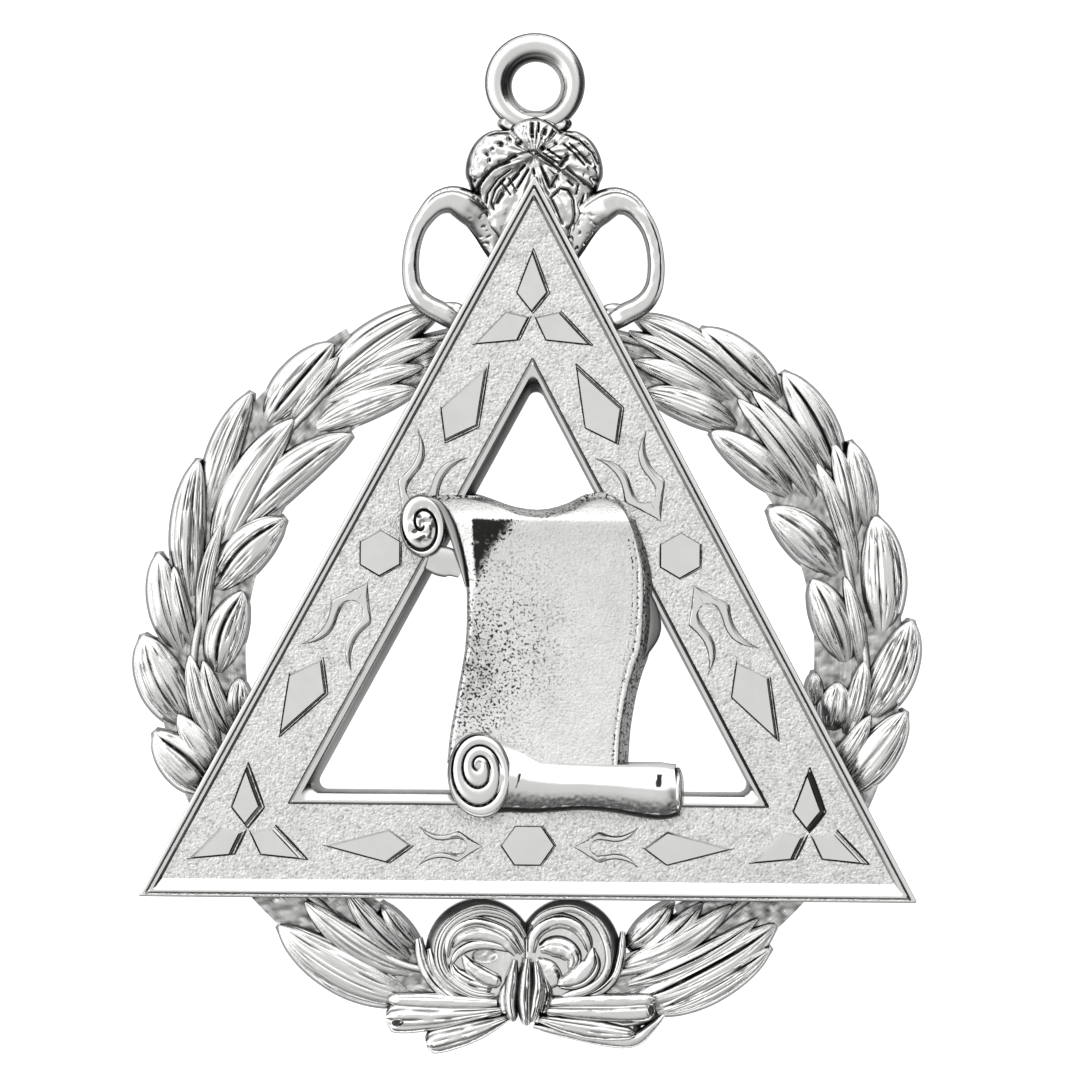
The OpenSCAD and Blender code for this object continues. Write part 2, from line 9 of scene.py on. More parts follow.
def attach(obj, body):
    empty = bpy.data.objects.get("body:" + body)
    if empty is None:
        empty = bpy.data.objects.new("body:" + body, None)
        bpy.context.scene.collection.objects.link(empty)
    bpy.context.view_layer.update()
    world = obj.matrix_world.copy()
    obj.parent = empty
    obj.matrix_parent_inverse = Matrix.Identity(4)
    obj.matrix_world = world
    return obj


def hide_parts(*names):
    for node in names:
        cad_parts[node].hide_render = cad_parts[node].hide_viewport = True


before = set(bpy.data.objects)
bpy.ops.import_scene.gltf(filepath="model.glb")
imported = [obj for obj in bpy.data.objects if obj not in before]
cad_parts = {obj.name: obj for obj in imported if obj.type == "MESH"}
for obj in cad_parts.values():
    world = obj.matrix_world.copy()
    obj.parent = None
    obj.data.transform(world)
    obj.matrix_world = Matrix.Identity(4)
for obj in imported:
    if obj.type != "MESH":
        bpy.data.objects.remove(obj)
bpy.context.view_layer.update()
print("frame loaded:", ", ".join(sorted(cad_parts)))

# The plan of the jewel in mm, in the frame of the CAD model
plan = {
    "wreathY": -8.528, "wreathIn": 22, "bandWidth": 9, "plateTop": 1.1, "hangerBack": 1.25,
    "halfBase": 31, "baseY": -28.128, "apexY": 29.572, "groundZ": 3.75, "cornerSteps": 8,
    # where the scroll lies on the rims, and the foot of its pieces
    "lapZ": 4.35, "scrollFoot": 4.24,
}
slope = (plan["apexY"] - plan["baseY"]) / plan["halfBase"]
stretch = sqrt(1 + slope * slope) / slope
upLeft = atan(slope)


def flow(rows, x):
    # a smooth curve through rows of (place, value); the values may be numbers or vectors
    if x <= rows[0][0]:
        return rows[0][1]
    if x >= rows[-1][0]:
        return rows[-1][1]
    i = max(k for k in range(len(rows) - 1) if rows[k][0] <= x)
    (x0, y0), (x1, y1) = rows[i], rows[i + 1]
    span = x1 - x0
    t = (x - x0) / span
    before, after = rows[max(i - 1, 0)], rows[min(i + 2, len(rows) - 1)]
    m0 = (y1 - before[1]) * (span / (x1 - before[0]))
    m1 = (after[1] - y0) * (span / (after[0] - x0))
    return (y0 * (2 * t ** 3 - 3 * t * t + 1) + m0 * (t ** 3 - 2 * t * t + t)
            + y1 * (3 * t * t - 2 * t ** 3) + m1 * (t ** 3 - t * t))


def routeRows(points):
    # points of a path as rows of (share of its length, point)
    spots = [Vector(p) for p in points]
    lengths = [0]
    for a, b in zip(spots, spots[1:]):
        lengths.append(lengths[-1] + (b - a).length)
    return [(d / lengths[-1], p) for d, p in zip(lengths, spots)]


def bell(x, width):
    return exp(-(x / width) ** 2)


def step(low, high, x):
    t = min(max((x - low) / (high - low), 0), 1)
    return t * t * (3 - 2 * t)


def rough(x, y, z, scale):
    return noise.noise(Vector((x, y, z)) * scale)


def bandPoint(turn, across, side):
    r = plan["wreathIn"] + across * plan["bandWidth"]
    return Vector((side * r * sin(radians(turn)), plan["wreathY"] - r * cos(radians(turn))))


def insetTriangle(side, base):
    y = plan["baseY"] + base
    x = (plan["apexY"] - y) / slope - side * stretch
    return [Vector((-x, y)), Vector((x, y)), Vector((0, plan["apexY"] - side * stretch * slope))]


def roundTriangle(side, base, r):
    steps = plan["cornerSteps"]
    corners = insetTriangle(side + r, base + r)
    turns = [(pi / 2 + upLeft, pi * 1.5), (-pi / 2, pi / 2 - upLeft),
             (pi / 2 - upLeft, pi / 2 + upLeft)]
    points = []
    for corner, (start, end) in zip(corners, turns):
        for k in range(steps + 1):
            a = start + (end - start) * k / steps
            points.append(corner + r * Vector((cos(a), sin(a))))
    return points


def outsideTriangle(x, y):
    # distance outside the triangle's outline, below zero inside it
    half = (plan["apexY"] - y) / slope
    return (abs(x) - half) / stretch if y > plan["baseY"] else plan["baseY"] - y


def cutTo(bm, corners):
    # cuts away what lies outside a triangle
    for a, b in zip(corners, corners[1:] + corners[:1]):
        bmesh.ops.bisect_plane(bm, geom=bm.verts[:] + bm.edges[:] + bm.faces[:], plane_co=(a.x, a.y, 0),
                               plane_no=(b.y - a.y, a.x - b.x, 0), clear_outer=True)


# Each mesh is made in mm, and is brought to metres at the end

def startMesh():
    bm = bmesh.new()
    bm.verts.layers.float.new("recess")
    bm.loops.layers.uv.new("relief")
    return bm


def shadeAndSpecksLayer(bm):
    return bm.verts.layers.float["recess"]


def finishPiece(bm, name, node, material, sharp=35):
    bmesh.ops.remove_doubles(bm, verts=bm.verts, dist=1e-5)
    bmesh.ops.recalc_face_normals(bm, faces=bm.faces)
    bmesh.ops.scale(bm, vec=(0.001, 0.001, 0.001), verts=bm.verts)
    mesh = bpy.data.meshes.new(name)
    bm.to_mesh(mesh)
    bm.free()
    mesh.shade_smooth()
    mesh.set_sharp_from_angle(angle=radians(sharp))
    mesh.materials.append(material)
    piece = bpy.data.objects.new(name, mesh)
    bpy.context.scene.collection.objects.link(piece)
    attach(piece, "root")
    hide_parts(node)
    print("piece", name, len(mesh.polygons), "faces")
    return piece


def ringEdges(ring):
    # through a dictionary, because a set would change the order of the faces from run to run
    return [e for e in dict.fromkeys(e for v in ring for e in v.link_edges) if all(v in ring for v in e.verts)]


def growRing(bm, ring):
    # pulls a new ring of edges out of the last one; ring is {vertex: its key}
    made = bmesh.ops.extrude_edge_only(bm, edges=ringEdges(ring))["geom"]
    fresh = [g for g in made if isinstance(g, bmesh.types.BMVert)]
    return {v: next(ring[e.other_vert(v)] for e in v.link_edges if e.other_vert(v) in ring) for v in fresh}


def fillRing(bm, ring):
    bmesh.ops.edgeloop_fill(bm, edges=ringEdges(ring))


def startRing(bm, count):
    made = bmesh.ops.create_circle(bm, segments=count, radius=1)["verts"]
    made.sort(key=lambda v: atan2(v.co.y, v.co.x))
    return {v: k for k, v in enumerate(made)}


def gridRelief(bm, along, over, surface, outward, foot, deep=1):
    # a grid lifted into relief, with walls down to its foot. surface and outward take (share along, -1..1 across);
    # surface also gives the painted shade of each point, and the walls get the painted shade deep
    recess, uv = shadeAndSpecksLayer(bm), bm.loops.layers.uv["relief"]
    made = bmesh.ops.create_grid(bm, x_segments=along, y_segments=over, size=1)["verts"]
    shares = {v: ((v.co.x + 1) / 2, v.co.y) for v in made}
    for face in {f for v in made for f in v.link_faces}:
        for loop in face.loops:
            loop[uv].uv = shares[loop.vert]
    for v, (s, a) in shares.items():
        place, v[recess] = surface(s, a)
        v.co = place
    rim = {v: shares[v] for v in made if any(len(e.link_faces) == 1 for e in v.link_edges)}
    low = growRing(bm, rim)
    above = {v: next(e.other_vert(v) for e in v.link_edges if e.other_vert(v) in rim) for v in low}
    for v, (s, a) in low.items():
        push = outward(s, a)
        v.co = (above[v].co.x + push[0], above[v].co.y + push[1], foot)
        v[recess] = deep
    fillRing(bm, low)


def strip(bm, points, half, top, section, foot, along=24, over=20, draft=0.3, warp=0.5):
    # a relief strip along a path; half and top are rows along it, section gives (drop, painted shade) across it
    route = routeRows(points)
    memo = {}

    def at(s):
        if s not in memo:
            near = flow(route, max(s - 0.02, 0)), flow(route, min(s + 0.02, 1))
            ahead = (near[1] - near[0]).normalized()
            memo[s] = flow(route, s), ahead, Vector((-ahead.y, ahead.x)), flow(half, s), flow(top, s)
        return memo[s]

    def surface(s, a):
        middle, ahead, aside, wide, high = at(round(s, 6))
        e = a * (1 - warp) + sin(pi / 2 * a) * warp
        drop, recess = section(s, e, wide)
        p = middle + aside * (wide * e)
        return (p.x, p.y, high - drop), recess

    def outward(s, a):
        middle, ahead, aside, wide, high = at(round(s, 6))
        push = aside * (copysign(draft, a) if abs(a) > 0.999 else 0)
        return push + ahead * (draft * (1 if s > 0.999 else -1 if s < 0.001 else 0))

    gridRelief(bm, along, over, surface, outward, foot)


def polarRelief(bm, count, shares, surface, outward, foot):
    # rings drawn out from a small middle, with a wall down to its foot. surface takes (angle, share) and also gives
    # the painted shade there; the wall gets full painted shade
    recess = shadeAndSpecksLayer(bm)
    ring = startRing(bm, count)
    turn = [pi * 2 * k / count - pi for k in range(count)]
    for k, share in enumerate(shares):
        if k:
            ring = growRing(bm, ring)
        for v, i in ring.items():
            v.co, v[recess] = surface(turn[i], share)
        if not k:
            fillRing(bm, ring)
    rim = {i: v.co.copy() for v, i in ring.items()}
    ring = growRing(bm, ring)
    for v, i in ring.items():
        push = outward(turn[i])
        v.co = (rim[i].x + push[0], rim[i].y + push[1], foot)
        v[recess] = 1
    fillRing(bm, ring)


def evenly(values):
    # rows of (share, value) at even steps
    return [(k / (len(values) - 1), value) for k, value in enumerate(values)]


def domeDrop(e, depth, power=2.4, root=0.62):
    return depth * (1 - max(1 - abs(e) ** power, 0) ** root)


def pushOut(reach):
    # the foot of a wall, out from its top all round
    return lambda angle: (reach * cos(angle), reach * sin(angle))


def upright(*place):
    return 0, 0


def sharesOut(least, count):
    return [least + (1 - least) * k / count for k in range(count + 1)]


def ovalPoint(middle, halves, angle, share):
    return middle[0] + halves[0] * share * cos(angle), middle[1] + halves[1] * share * sin(angle)


# Finishes: one wrapper for sockets, so that the sums of a material read as plain expressions

def operator(name, turned=False):
    return lambda self, other: self.math(name, *((other, self) if turned else (self, other)))


class Wire:
    def __init__(self, tree, socket):
        self.tree = tree
        self.socket = socket

    def node(self, kind, settings, sockets, out=0):
        made = self.tree.nodes.new(kind)
        for key, value in settings.items():
            if key == "stops":
                ramp = made.color_ramp.elements
                while len(ramp) < len(value):
                    ramp.new(0.5)
                for stop, (place, shade) in zip(ramp, value):
                    stop.position = place
                    stop.color = (shade, shade, shade, 1)
            else:
                setattr(made, key, value)
        for key, value in sockets.items():
            if isinstance(value, Wire):
                self.tree.links.new(value.socket, made.inputs[key])
            else:
                made.inputs[key].default_value = value
        return Wire(self.tree, made.outputs[out])

    def math(self, operation, *values):
        return self.node("ShaderNodeMath", {"operation": operation}, dict(enumerate(values)))

    __add__, __radd__ = operator("ADD"), operator("ADD", True)
    __sub__, __rsub__ = operator("SUBTRACT"), operator("SUBTRACT", True)
    __mul__, __rmul__ = operator("MULTIPLY"), operator("MULTIPLY", True)

    def axis(self, which):
        return self.node("ShaderNodeSeparateXYZ", {}, {0: self}, which)

    def between(self, low, high):
        return self.node("ShaderNodeMapRange", {"interpolation_type": "SMOOTHSTEP"},
                         {"Value": self, "From Min": low, "From Max": high})


def silver(name, look):
    material = bpy.data.materials.new(name)
    material.use_nodes = True
    tree = material.node_tree
    shader = tree.nodes["Principled BSDF"]
    start = Wire(tree, None)
    spot = start.node("ShaderNodeTexCoord", {}, {}, "Object")
    recess = start.node("ShaderNodeAttribute", {"attribute_name": "recess"}, {}, "Fac")

    def cloud(scale, detail=3, where=spot):
        return start.node("ShaderNodeTexNoise", {}, {"Vector": where, "Scale": scale, "Detail": detail})

    # painted shade: hollows and steep walls are painted darker, standing in for their shade and dark reflections;
    # faint clouds of tarnish and fine specks are darker too
    steep = 1 - start.node("ShaderNodeNewGeometry", {}, {}, "Normal").axis("Z").between(0.5, 0.74)
    paintedShade = recess.between(look["paintedShadeFrom"], look["paintedShadeTo"]) * look["paintedShadeDark"]
    paintedShade = 1 - (1 - paintedShade) * (1 - steep * look["sides"])
    clouds = cloud(260).between(0.35, 0.75) * look["tarnish"]
    specks = cloud(look["speckScale"], 2).between(0.5, 0.72) * (look["specks"] + recess * look["speckMore"])
    shade = 1 - (1 - paintedShade) * (1 - clouds) * (1 - specks)
    colour = start.node("ShaderNodeMix", {"data_type": "RGBA"},
                        {"Factor": shade, "A": look["bright"], "B": look["dark"]}, "Result")
    fine = cloud(look["grainScale"], 2)
    roughness = look["rough"] + look["roughVary"] * cloud(900).between(0.3, 0.7) + paintedShade * 0.25
    height = fine * look["grain"]
    if look.get("streak"):
        lines = start.node("ShaderNodeUVMap", {"uv_map": "relief"}, {})
        drawn = start.node("ShaderNodeMapping", {}, {"Vector": lines, "Scale": look["streakScale"]})
        height = height + cloud(1, 2, drawn) * look["streak"]
    bump = start.node("ShaderNodeBump", {}, {"Height": height, "Strength": look["bump"], "Distance": 0.0001})
    for entry, wire in (("Base Color", colour), ("Roughness", roughness), ("Normal", bump)):
        tree.links.new(wire.socket, shader.inputs[entry])
    shader.inputs["Metallic"].default_value = 1
    return material


baseLook = {
    "bright": (0.93, 0.925, 0.915, 1), "dark": (0.035, 0.034, 0.033, 1), "rough": 0.1, "roughVary": 0.06,
    # how dark the painted shade in the hollows is and where that starts and ends, how dark the painted shade on the
    # steep walls is, and the tarnish
    "paintedShadeFrom": 0.15, "paintedShadeTo": 1, "paintedShadeDark": 1, "sides": 0.7, "tarnish": 0.05,
    # dark specks on the open faces, and more of them in the hollows
    "speckScale": 3000, "specks": 0, "speckMore": 0,
    "grainScale": 5000, "grain": 0.25, "bump": 0.25, "streakScale": (3, 16, 1),
}
polishedSilver = silver("polished silver", baseLook)
leafSilver = silver("leaf silver", dict(baseLook, rough=0.14, roughVary=0.08, streak=0.8, bump=0.45, sides=0.6))
crestSilver = silver("crest silver", dict(
    baseLook, rough=0.13, roughVary=0.08, grain=0.5, grainScale=3000, bump=0.5, sides=0.6))
stippledSilver = silver("stippled silver", dict(
    baseLook, rough=0.26, roughVary=0.1, grain=1, bump=0.6, paintedShadeFrom=0.3, paintedShadeDark=0.28, tarnish=0.08,
    speckScale=4600, specks=0.3, speckMore=0.2))
sheetSilver = silver("sheet silver", dict(
    baseLook, rough=0.27, roughVary=0.12, grain=1, grainScale=5200, bump=0.35, tarnish=0.08, speckScale=4800,
    specks=0.2, speckMore=7, sides=0.45))
ornamentSilver = silver("ornament silver", dict(baseLook, rough=0.2, roughVary=0.05, tarnish=0.04, grain=0.15))
print("finishes made")


# The wreath: leaves in relief over a low plate. Columns: turn and place across the band of the base,
# the same of the tip, and the width as a share of the band
leafLook = {
    "leftLeaves": [
        (19, 0.8, 42, 0.84, 0.4), (20, 0.58, 41.5, 0.53, 0.26), (21, 0.47, 37, 0.22, 0.2),
        (20, 0.36, 30, 0.14, 0.16), (66, 0.58, 77.5, 0.95, 0.4), (67, 0.45, 79.5, 0.72, 0.24),
        (78, 0.66, 92, 0.985, 0.42), (72, 0.45, 89, 0.57, 0.2), (74, 0.3, 88, 0.45, 0.18),
        (76, 0.2, 84.5, 0.14, 0.2), (90, 0.66, 104.4, 0.96, 0.3), (91, 0.55, 103, 0.8, 0.14),
        (86, 0.35, 101.5, 0.16, 0.34), (92, 0.47, 112, 0.52, 0.14), (101, 0.42, 118, 0.04, 0.38),
        (99, 0.6, 119.6, 0.95, 0.3), (107, 0.47, 134, 0.5, 0.34), (112, 0.38, 140, 0.06, 0.34),
        (114, 0.68, 132.4, 0.93, 0.27), (131, 0.66, 147, 0.8, 0.33), (134, 0.52, 146.5, 0.68, 0.16),
        (136, 0.3, 156, 0.1, 0.26), (141, 0.42, 159, 0.26, 0.18), (142, 0.54, 165, 0.72, 0.34),
        (146, 0.46, 163, 0.44, 0.2)],
    "rightLeaves": [
        (18, 0.78, 42.5, 0.8, 0.34), (20, 0.92, 39.5, 0.93, 0.26), (17, 0.62, 41, 0.66, 0.18),
        (17, 0.46, 39, 0.42, 0.22), (20, 0.42, 35, 0.25, 0.18), (19, 0.3, 30, 0.1, 0.2),
        (66, 0.56, 81.5, 0.92, 0.36), (68, 0.4, 80, 0.62, 0.18), (80, 0.62, 95.2, 0.945, 0.38),
        (76, 0.3, 85, 0.3, 0.3), (80, 0.12, 86.5, 0.08, 0.14), (76, 0.45, 89, 0.52, 0.2),
        (89, 0.36, 105, 0.14, 0.34), (88, 0.5, 104, 0.42, 0.14), (94, 0.68, 112, 0.84, 0.38),
        (104, 0.52, 124, 0.6, 0.16), (105, 0.38, 121.5, 0.03, 0.38), (110, 0.6, 125, 0.82, 0.2),
        (111, 0.76, 123.8, 0.95, 0.22), (119, 0.42, 141, 0.46, 0.22), (119, 0.56, 140, 0.6, 0.18),
        (122, 0.25, 141, 0.09, 0.3), (121, 0.72, 138.3, 0.9, 0.32), (136, 0.7, 152.5, 0.8, 0.3),
        (138, 0.26, 157, 0.08, 0.28), (143, 0.38, 161, 0.3, 0.2), (142, 0.44, 163, 0.52, 0.18),
        (141, 0.58, 163, 0.68, 0.28)],
    # shares of the half width and of the rise from low to high, along a leaf
    "outline": [(0, 0.4), (0.16, 0.8), (0.4, 1.04), (0.66, 0.94), (0.86, 0.62), (0.96, 0.3), (1, 0.08)],
    "rise": [(0, 0.1), (0.2, 0.6), (0.45, 0.95), (0.7, 1), (0.88, 0.9), (1, 0.62)],
    "low": 1.2, "high": 2.38, "along": 30, "over": 46, "draft": 0.22, "foot": 0.02,
    # how far a vein bends, how deep it may be, and where finer lines run beside it
    "bend": 0.25, "veins": (0.3, 0.22, 0.14, 0.06), "lines": (-0.8, -0.6, -0.42, -0.24, 0.24, 0.42, 0.6, 0.8),
    # how dark the painted shade in the cuts is in the lower leaves and in the others, and the turn that parts them
    "cutShades": (4.4, 3.1), "shadeTurn": 50,
    # backing arcs: turns from and to, places across from and to
    "backing": [(8, 30, 0.36, 0.84), (30, 64, 0.14, 0.84), (63, 150, 0.08, 0.86), (149, 180, 0.08, 0.5)],
    # the stem: half width and height at its ends
    "stem": (0.3, 0.3), "stemHigh": (1.85, 1.75),
}


def leafSection(dice, cutShade):
    # how one leaf is cut: a vein or a plain crown, and finer lines beside it, with painted shade in the cuts and
    # along the edge
    bend = dice.uniform(-leafLook["bend"], leafLook["bend"])
    vein = dice.choice(leafLook["veins"])
    lines = [(place + dice.uniform(-0.06, 0.06), dice.uniform(0.04, 0.15), dice.uniform(0.03, 0.05))
             for place in leafLook["lines"]]
    start = dice.uniform(0, 50)

    def section(s, e, wide):
        middle = bend * sin(pi * s)
        fade = step(0.02, 0.2, s) * step(1, 0.82, s)
        cut = vein * bell(e - middle, 0.08) * (0.35 + 0.65 * fade)
        for k, (place, deep, thin) in enumerate(lines):
            broken = step(-0.2, 0.15, rough(s * 2.6, k * 7 + start, 0, 1))
            cut += deep * bell(e - place - middle * 0.6, thin) * fade * broken
        drop = domeDrop(e, min(0.85, 0.46 * wide)) + cut * min(wide, 1.3)
        drop += 0.04 * rough(s * 5 + start, e * 3, start, 1)
        # painted shade along the leaf's edge
        edge = step(0.95, 1, abs(e)) * 0.75
        return drop, max(edge, min(cut * cutShade, 0.85))

    return section


def addLeaves(bm, rows, side, seed):
    low, high = leafLook["low"], leafLook["high"]
    for k, (turn0, at0, turn1, at1, width) in enumerate(rows):
        dice = random.Random(seed + k)
        points = [bandPoint(turn0 + (turn1 - turn0) * t, at0 + (at1 - at0) * t, side)
                  for t in (0, 0.25, 0.5, 0.75, 1)]
        half = [(s, w * width * plan["bandWidth"] / 2) for s, w in leafLook["outline"]]
        lift = dice.uniform(-0.08, 0)
        top = [(s, lift + low + (high - low) * h) for s, h in leafLook["rise"]]
        section = leafSection(dice, leafLook["cutShades"][turn0 > leafLook["shadeTurn"]])
        strip(bm, points, half, top, section, *(leafLook[key] for key in ("foot", "along", "over", "draft")))


def addBacking(bm, side):
    for turn0, turn1, across0, across1 in leafLook["backing"]:
        def surface(s, a):
            p = bandPoint(turn0 + (turn1 - turn0) * s, across0 + (across1 - across0) * (a + 1) / 2, side)
            lump = 0.15 * rough(p.x, p.y, 3, 1.7) + 0.08 * rough(p.x, p.y, 9, 4.5)
            # painted shade: the plate is painted darker where it lies low
            return (p.x, p.y, plan["plateTop"] + 0.1 + lump), 0.55 - 2.4 * lump
        gridRelief(bm, max(int((turn1 - turn0) * 1.6), 12), 20, surface, upright, leafLook["foot"])


def addStem(bm, side):
    points = [bandPoint(t, 0.5 - 0.04 * sin(t * 0.2), side) for t in range(16, 170, 6)]
    # painted shade along the stem's edges
    strip(bm, points, evenly(leafLook["stem"]), evenly(leafLook["stemHigh"]),
          lambda s, e, w: (domeDrop(e, 0.3), step(0.9, 1, abs(e)) * 0.6), 0.05, 160, 8)


for name, rows, side, seed in (("leftBranch", leafLook["leftLeaves"], -1, 11),
                               ("rightBranch", leafLook["rightLeaves"], 1, 83)):
    bm = startMesh()
    addLeaves(bm, rows, side, seed)
    addBacking(bm, side)
    addStem(bm, side)
    finishPiece(bm, name, "wreath", leafSilver, sharp=50)


# The bow below: ribs over low pads that fill it from behind
bowLook = {
    # pads: middle, half sizes, height of the face
    "pads": [((-3.8, -32.5), (4.3, 4.3), 1.75), ((3.3, -32.4), (4.1, 4.25), 1.75), ((0, -34.7), (5.4, 2.2), 1.6),
             ((-6.2, -37.2), (4.9, 1.35), 1.6), ((-5.5, -38.5), (2.6, 1), 1.5), ((5.8, -37.2), (4.9, 1.4), 1.6),
             ((5.4, -38.4), (3.7, 1.1), 1.5)],
    # a pad's lip, and how much painted shade it has in its middle and at its edge
    "padEdge": (0.5, (0.2, 0.8)),
    # all ribs are wider by this share, and lie this much lower at their ends
    "swell": 1.15, "endDrop": 0.25,
    # ribs: points, half widths at even steps, height, how domed, and lines as (place, depth)
    "ribs": [
        # left loop, from outside in
        ([(-0.2, -31.2), (-0.9, -30.1), (-2.1, -29.35), (-3.7, -29.1), (-5.3, -29.65), (-6.35, -30.6), (-6.9, -31.8),
          (-6.95, -33), (-6.5, -34.15), (-5.5, -35.1), (-4.2, -35.75), (-2.6, -35.9)],
         (0.2, 0.4, 0.42, 0.4, 0.38, 0.3), 2.3, 0.4, [(-0.35, 0.14), (0.35, 0.08)]),
        ([(-0.4, -32.5), (-1.5, -31.05), (-2.9, -30.3), (-4.2, -30.05), (-5.5, -30.55), (-6.2, -31.5), (-6.4, -32.9)],
         (0.2, 0.42, 0.42, 0.4, 0.2), 2.38, 0.4, [(0.2, 0.1)]),
        ([(-0.9, -32.6), (-1.95, -31.45), (-3.7, -30.95), (-5.2, -31.25), (-6, -32.1)], (0.2, 0.46, 0.55, 0.45, 0.15),
         2.3, 0.3, [(-0.5, 0.1)]),
        ([(-1.3, -32.3), (-2.8, -31.85), (-4.3, -31.9), (-5.5, -32.5), (-6.1, -33.5)], (0.15, 0.32, 0.34, 0.32, 0.15),
         2.15, 0.35, []),
        ([(-5.1, -32.7), (-4.5, -33.6), (-3.4, -34.35), (-2.1, -34.9)],
         (0.15, 0.5, 0.6, 0.45), 2.35, 0.4, [(0.75, 0.2)]),
        ([(-6.1, -33.3), (-5.6, -34.2), (-4.4, -34.9), (-2.8, -35.3)], (0.2, 0.6, 0.62, 0.45), 2.15, 0.4,
         [(-0.2, 0.14), (0.3, 0.14)]),
        # the ribbon that comes in from the left
        ([(-8.7, -31.4), (-8.4, -33), (-7.8, -34.4), (-6.6, -35.7), (-4.9, -36.6)], (0.25, 0.4, 0.42, 0.4, 0.25), 2.1,
         0.4, [(0.1, 0.16)]),
        ([(-7.85, -32.2), (-7.45, -33.8), (-6.4, -35.1), (-4.75, -35.9), (-2.3, -36.35)],
         (0.2, 0.36, 0.38, 0.36, 0.3), 2,
         0.4, [(-0.3, 0.16)]),
        # right loop
        ([(0.4, -30.2), (1.2, -29.4), (2.45, -28.95), (3.8, -28.95), (5.3, -29.85), (6.2, -31.3), (6.5, -33),
          (6, -34.4), (4.7, -35.4), (2.85, -35.85)], (0.2, 0.26, 0.26, 0.26, 0.26, 0.26), 2.3, 0.35, []),
        ([(0.3, -32.4), (0.55, -31.1), (1.25, -30.3), (2.6, -29.85), (3.9, -30.3), (4.75, -31.4), (4.9, -32.3)],
         (0.3, 0.5, 0.55, 0.5, 0.3), 2.42, 0.45, [(-0.55, 0.12)]),
        ([(1, -32.1), (1.9, -31.9), (3, -32.1), (3.7, -32.9), (3.4, -33.9)], (0.4, 0.75, 0.8, 0.65, 0.25), 2.25, 0.5,
         [(0.1, 0.1)]),
        ([(5.15, -32), (5.1, -33.3), (4.1, -34.4), (2.4, -34.95)], (0.2, 0.75, 0.8, 0.4), 2.3, 0.45, [(0.45, 0.14)]),
        ([(0.7, -33), (1.6, -33.9), (2.2, -35.2)], (0.4, 0.85, 0.7), 2.2, 0.45, []),
        ([(7.6, -30.8), (7.45, -32.7), (6.95, -34.3), (5.7, -35.5), (3.8, -36.1)],
         (0.15, 0.3, 0.34, 0.36, 0.3), 2, 0.4,
         [(-0.2, 0.12)]),
        # ribbon ends
        ([(-2.4, -36.45), (-4.6, -36.45), (-7.5, -36.35), (-11, -36.25)],
         (0.3, 0.5, 0.6, 0.45), 2.25, 0.35, [(-0.3, 0.06)]),
        ([(-1.8, -37), (-4.2, -37.35), (-7.5, -37.7), (-11.2, -37.75)], (0.2, 0.55, 0.9, 1), 2.3, 0.5,
         [(-0.55, 0.1), (0.1, 0.12), (0.5, 0.08)]),
        ([(-1.4, -37.6), (-3.6, -38.5), (-5.8, -39.2), (-8, -39.75)], (0.2, 0.65, 0.85, 0.8), 2.25, 0.5,
         [(-0.5, 0.14), (0, 0.08), (0.4, 0.14)]),
        ([(1.7, -36.35), (4.4, -36.3), (7.5, -36.2), (10.2, -36.1)], (0.3, 0.45, 0.5, 0.4), 2.25, 0.35, []),
        ([(1.6, -37), (4.4, -37.15), (7.5, -37.2), (10.1, -37.05)], (0.25, 0.5, 0.6, 0.62), 2.3, 0.4, [(0.5, 0.12)]),
        ([(1, -37.7), (3.6, -38.25), (6.4, -38.65), (8.6, -38.85)], (0.25, 0.6, 0.68, 0.42), 2.2, 0.4,
         [(-0.2, 0.1), (0.35, 0.1)]),
        ([(0.6, -38.3), (3.2, -38.9), (6.2, -39.35), (8.6, -39.35), (10.2, -38.1), (11, -37.3)],
         (0.2, 0.3, 0.38, 0.5, 0.45, 0.2), 1.5, 0.4, []),
        # the knot
        ([(-1.5, -34.6), (-1.85, -35.8), (-1.75, -37.3)], (0.15, 0.4, 0.3), 2.4, 0.7, []),
        ([(-1, -33), (-1.25, -34.9), (-1.35, -36.6), (-1.05, -37.9)], (0.2, 0.5, 0.5, 0.32), 2.9, 0.9, [(0.2, 0.1)]),
        ([(0, -32.9), (-0.15, -34.8), (-0.2, -36.5), (0, -38.2)],
         (0.25, 0.52, 0.55, 0.36), 3.05, 0.95, [(0.1, 0.12)]),
        ([(0.65, -33.1), (0.9, -34.8), (0.7, -36.5), (0.4, -37.9)], (0.2, 0.46, 0.5, 0.32), 2.95, 0.95, [(0, 0.1)]),
        ([(1.3, -34.3), (1.6, -35.6), (1.25, -37.2)], (0.15, 0.42, 0.3), 2.5, 0.8, [(0, 0.3)])],
    # pads on top: middle, half sizes, height, lip, how much painted shade they have, and their count of corners
    "topPads": [((-3.4, -32.75), (1.05, 0.62), 2, -0.12, (0.45, 0.3), 40),
                ((-10.3, -38.1), (0.55, 0.3), 2.3, 0.05, (0.9, 0.2), 24),
                ((9.9, -36.9), (0.3, 0.5), 2.3, 0.05, (0.9, 0.2), 24)],
}


def ribSection(lines, depth=0.5, thin=0.09):
    def section(s, e, wide):
        cut = sum(d * bell(e - place, thin) for place, d in lines)
        cut *= 0.6 + 0.8 * step(-0.3, 0.3, rough(s * 4, e * 3, wide, 1))
        drop = domeDrop(e, depth * min(wide * 2, 1.2)) + cut + 0.03 * rough(s * 9, e * 2, wide * 5, 1)
        # painted shade along the rib's edges and in its cut lines
        return drop, max(step(0.88, 1, abs(e)) * 0.9, min(cut * 5, 0.9))
    return section


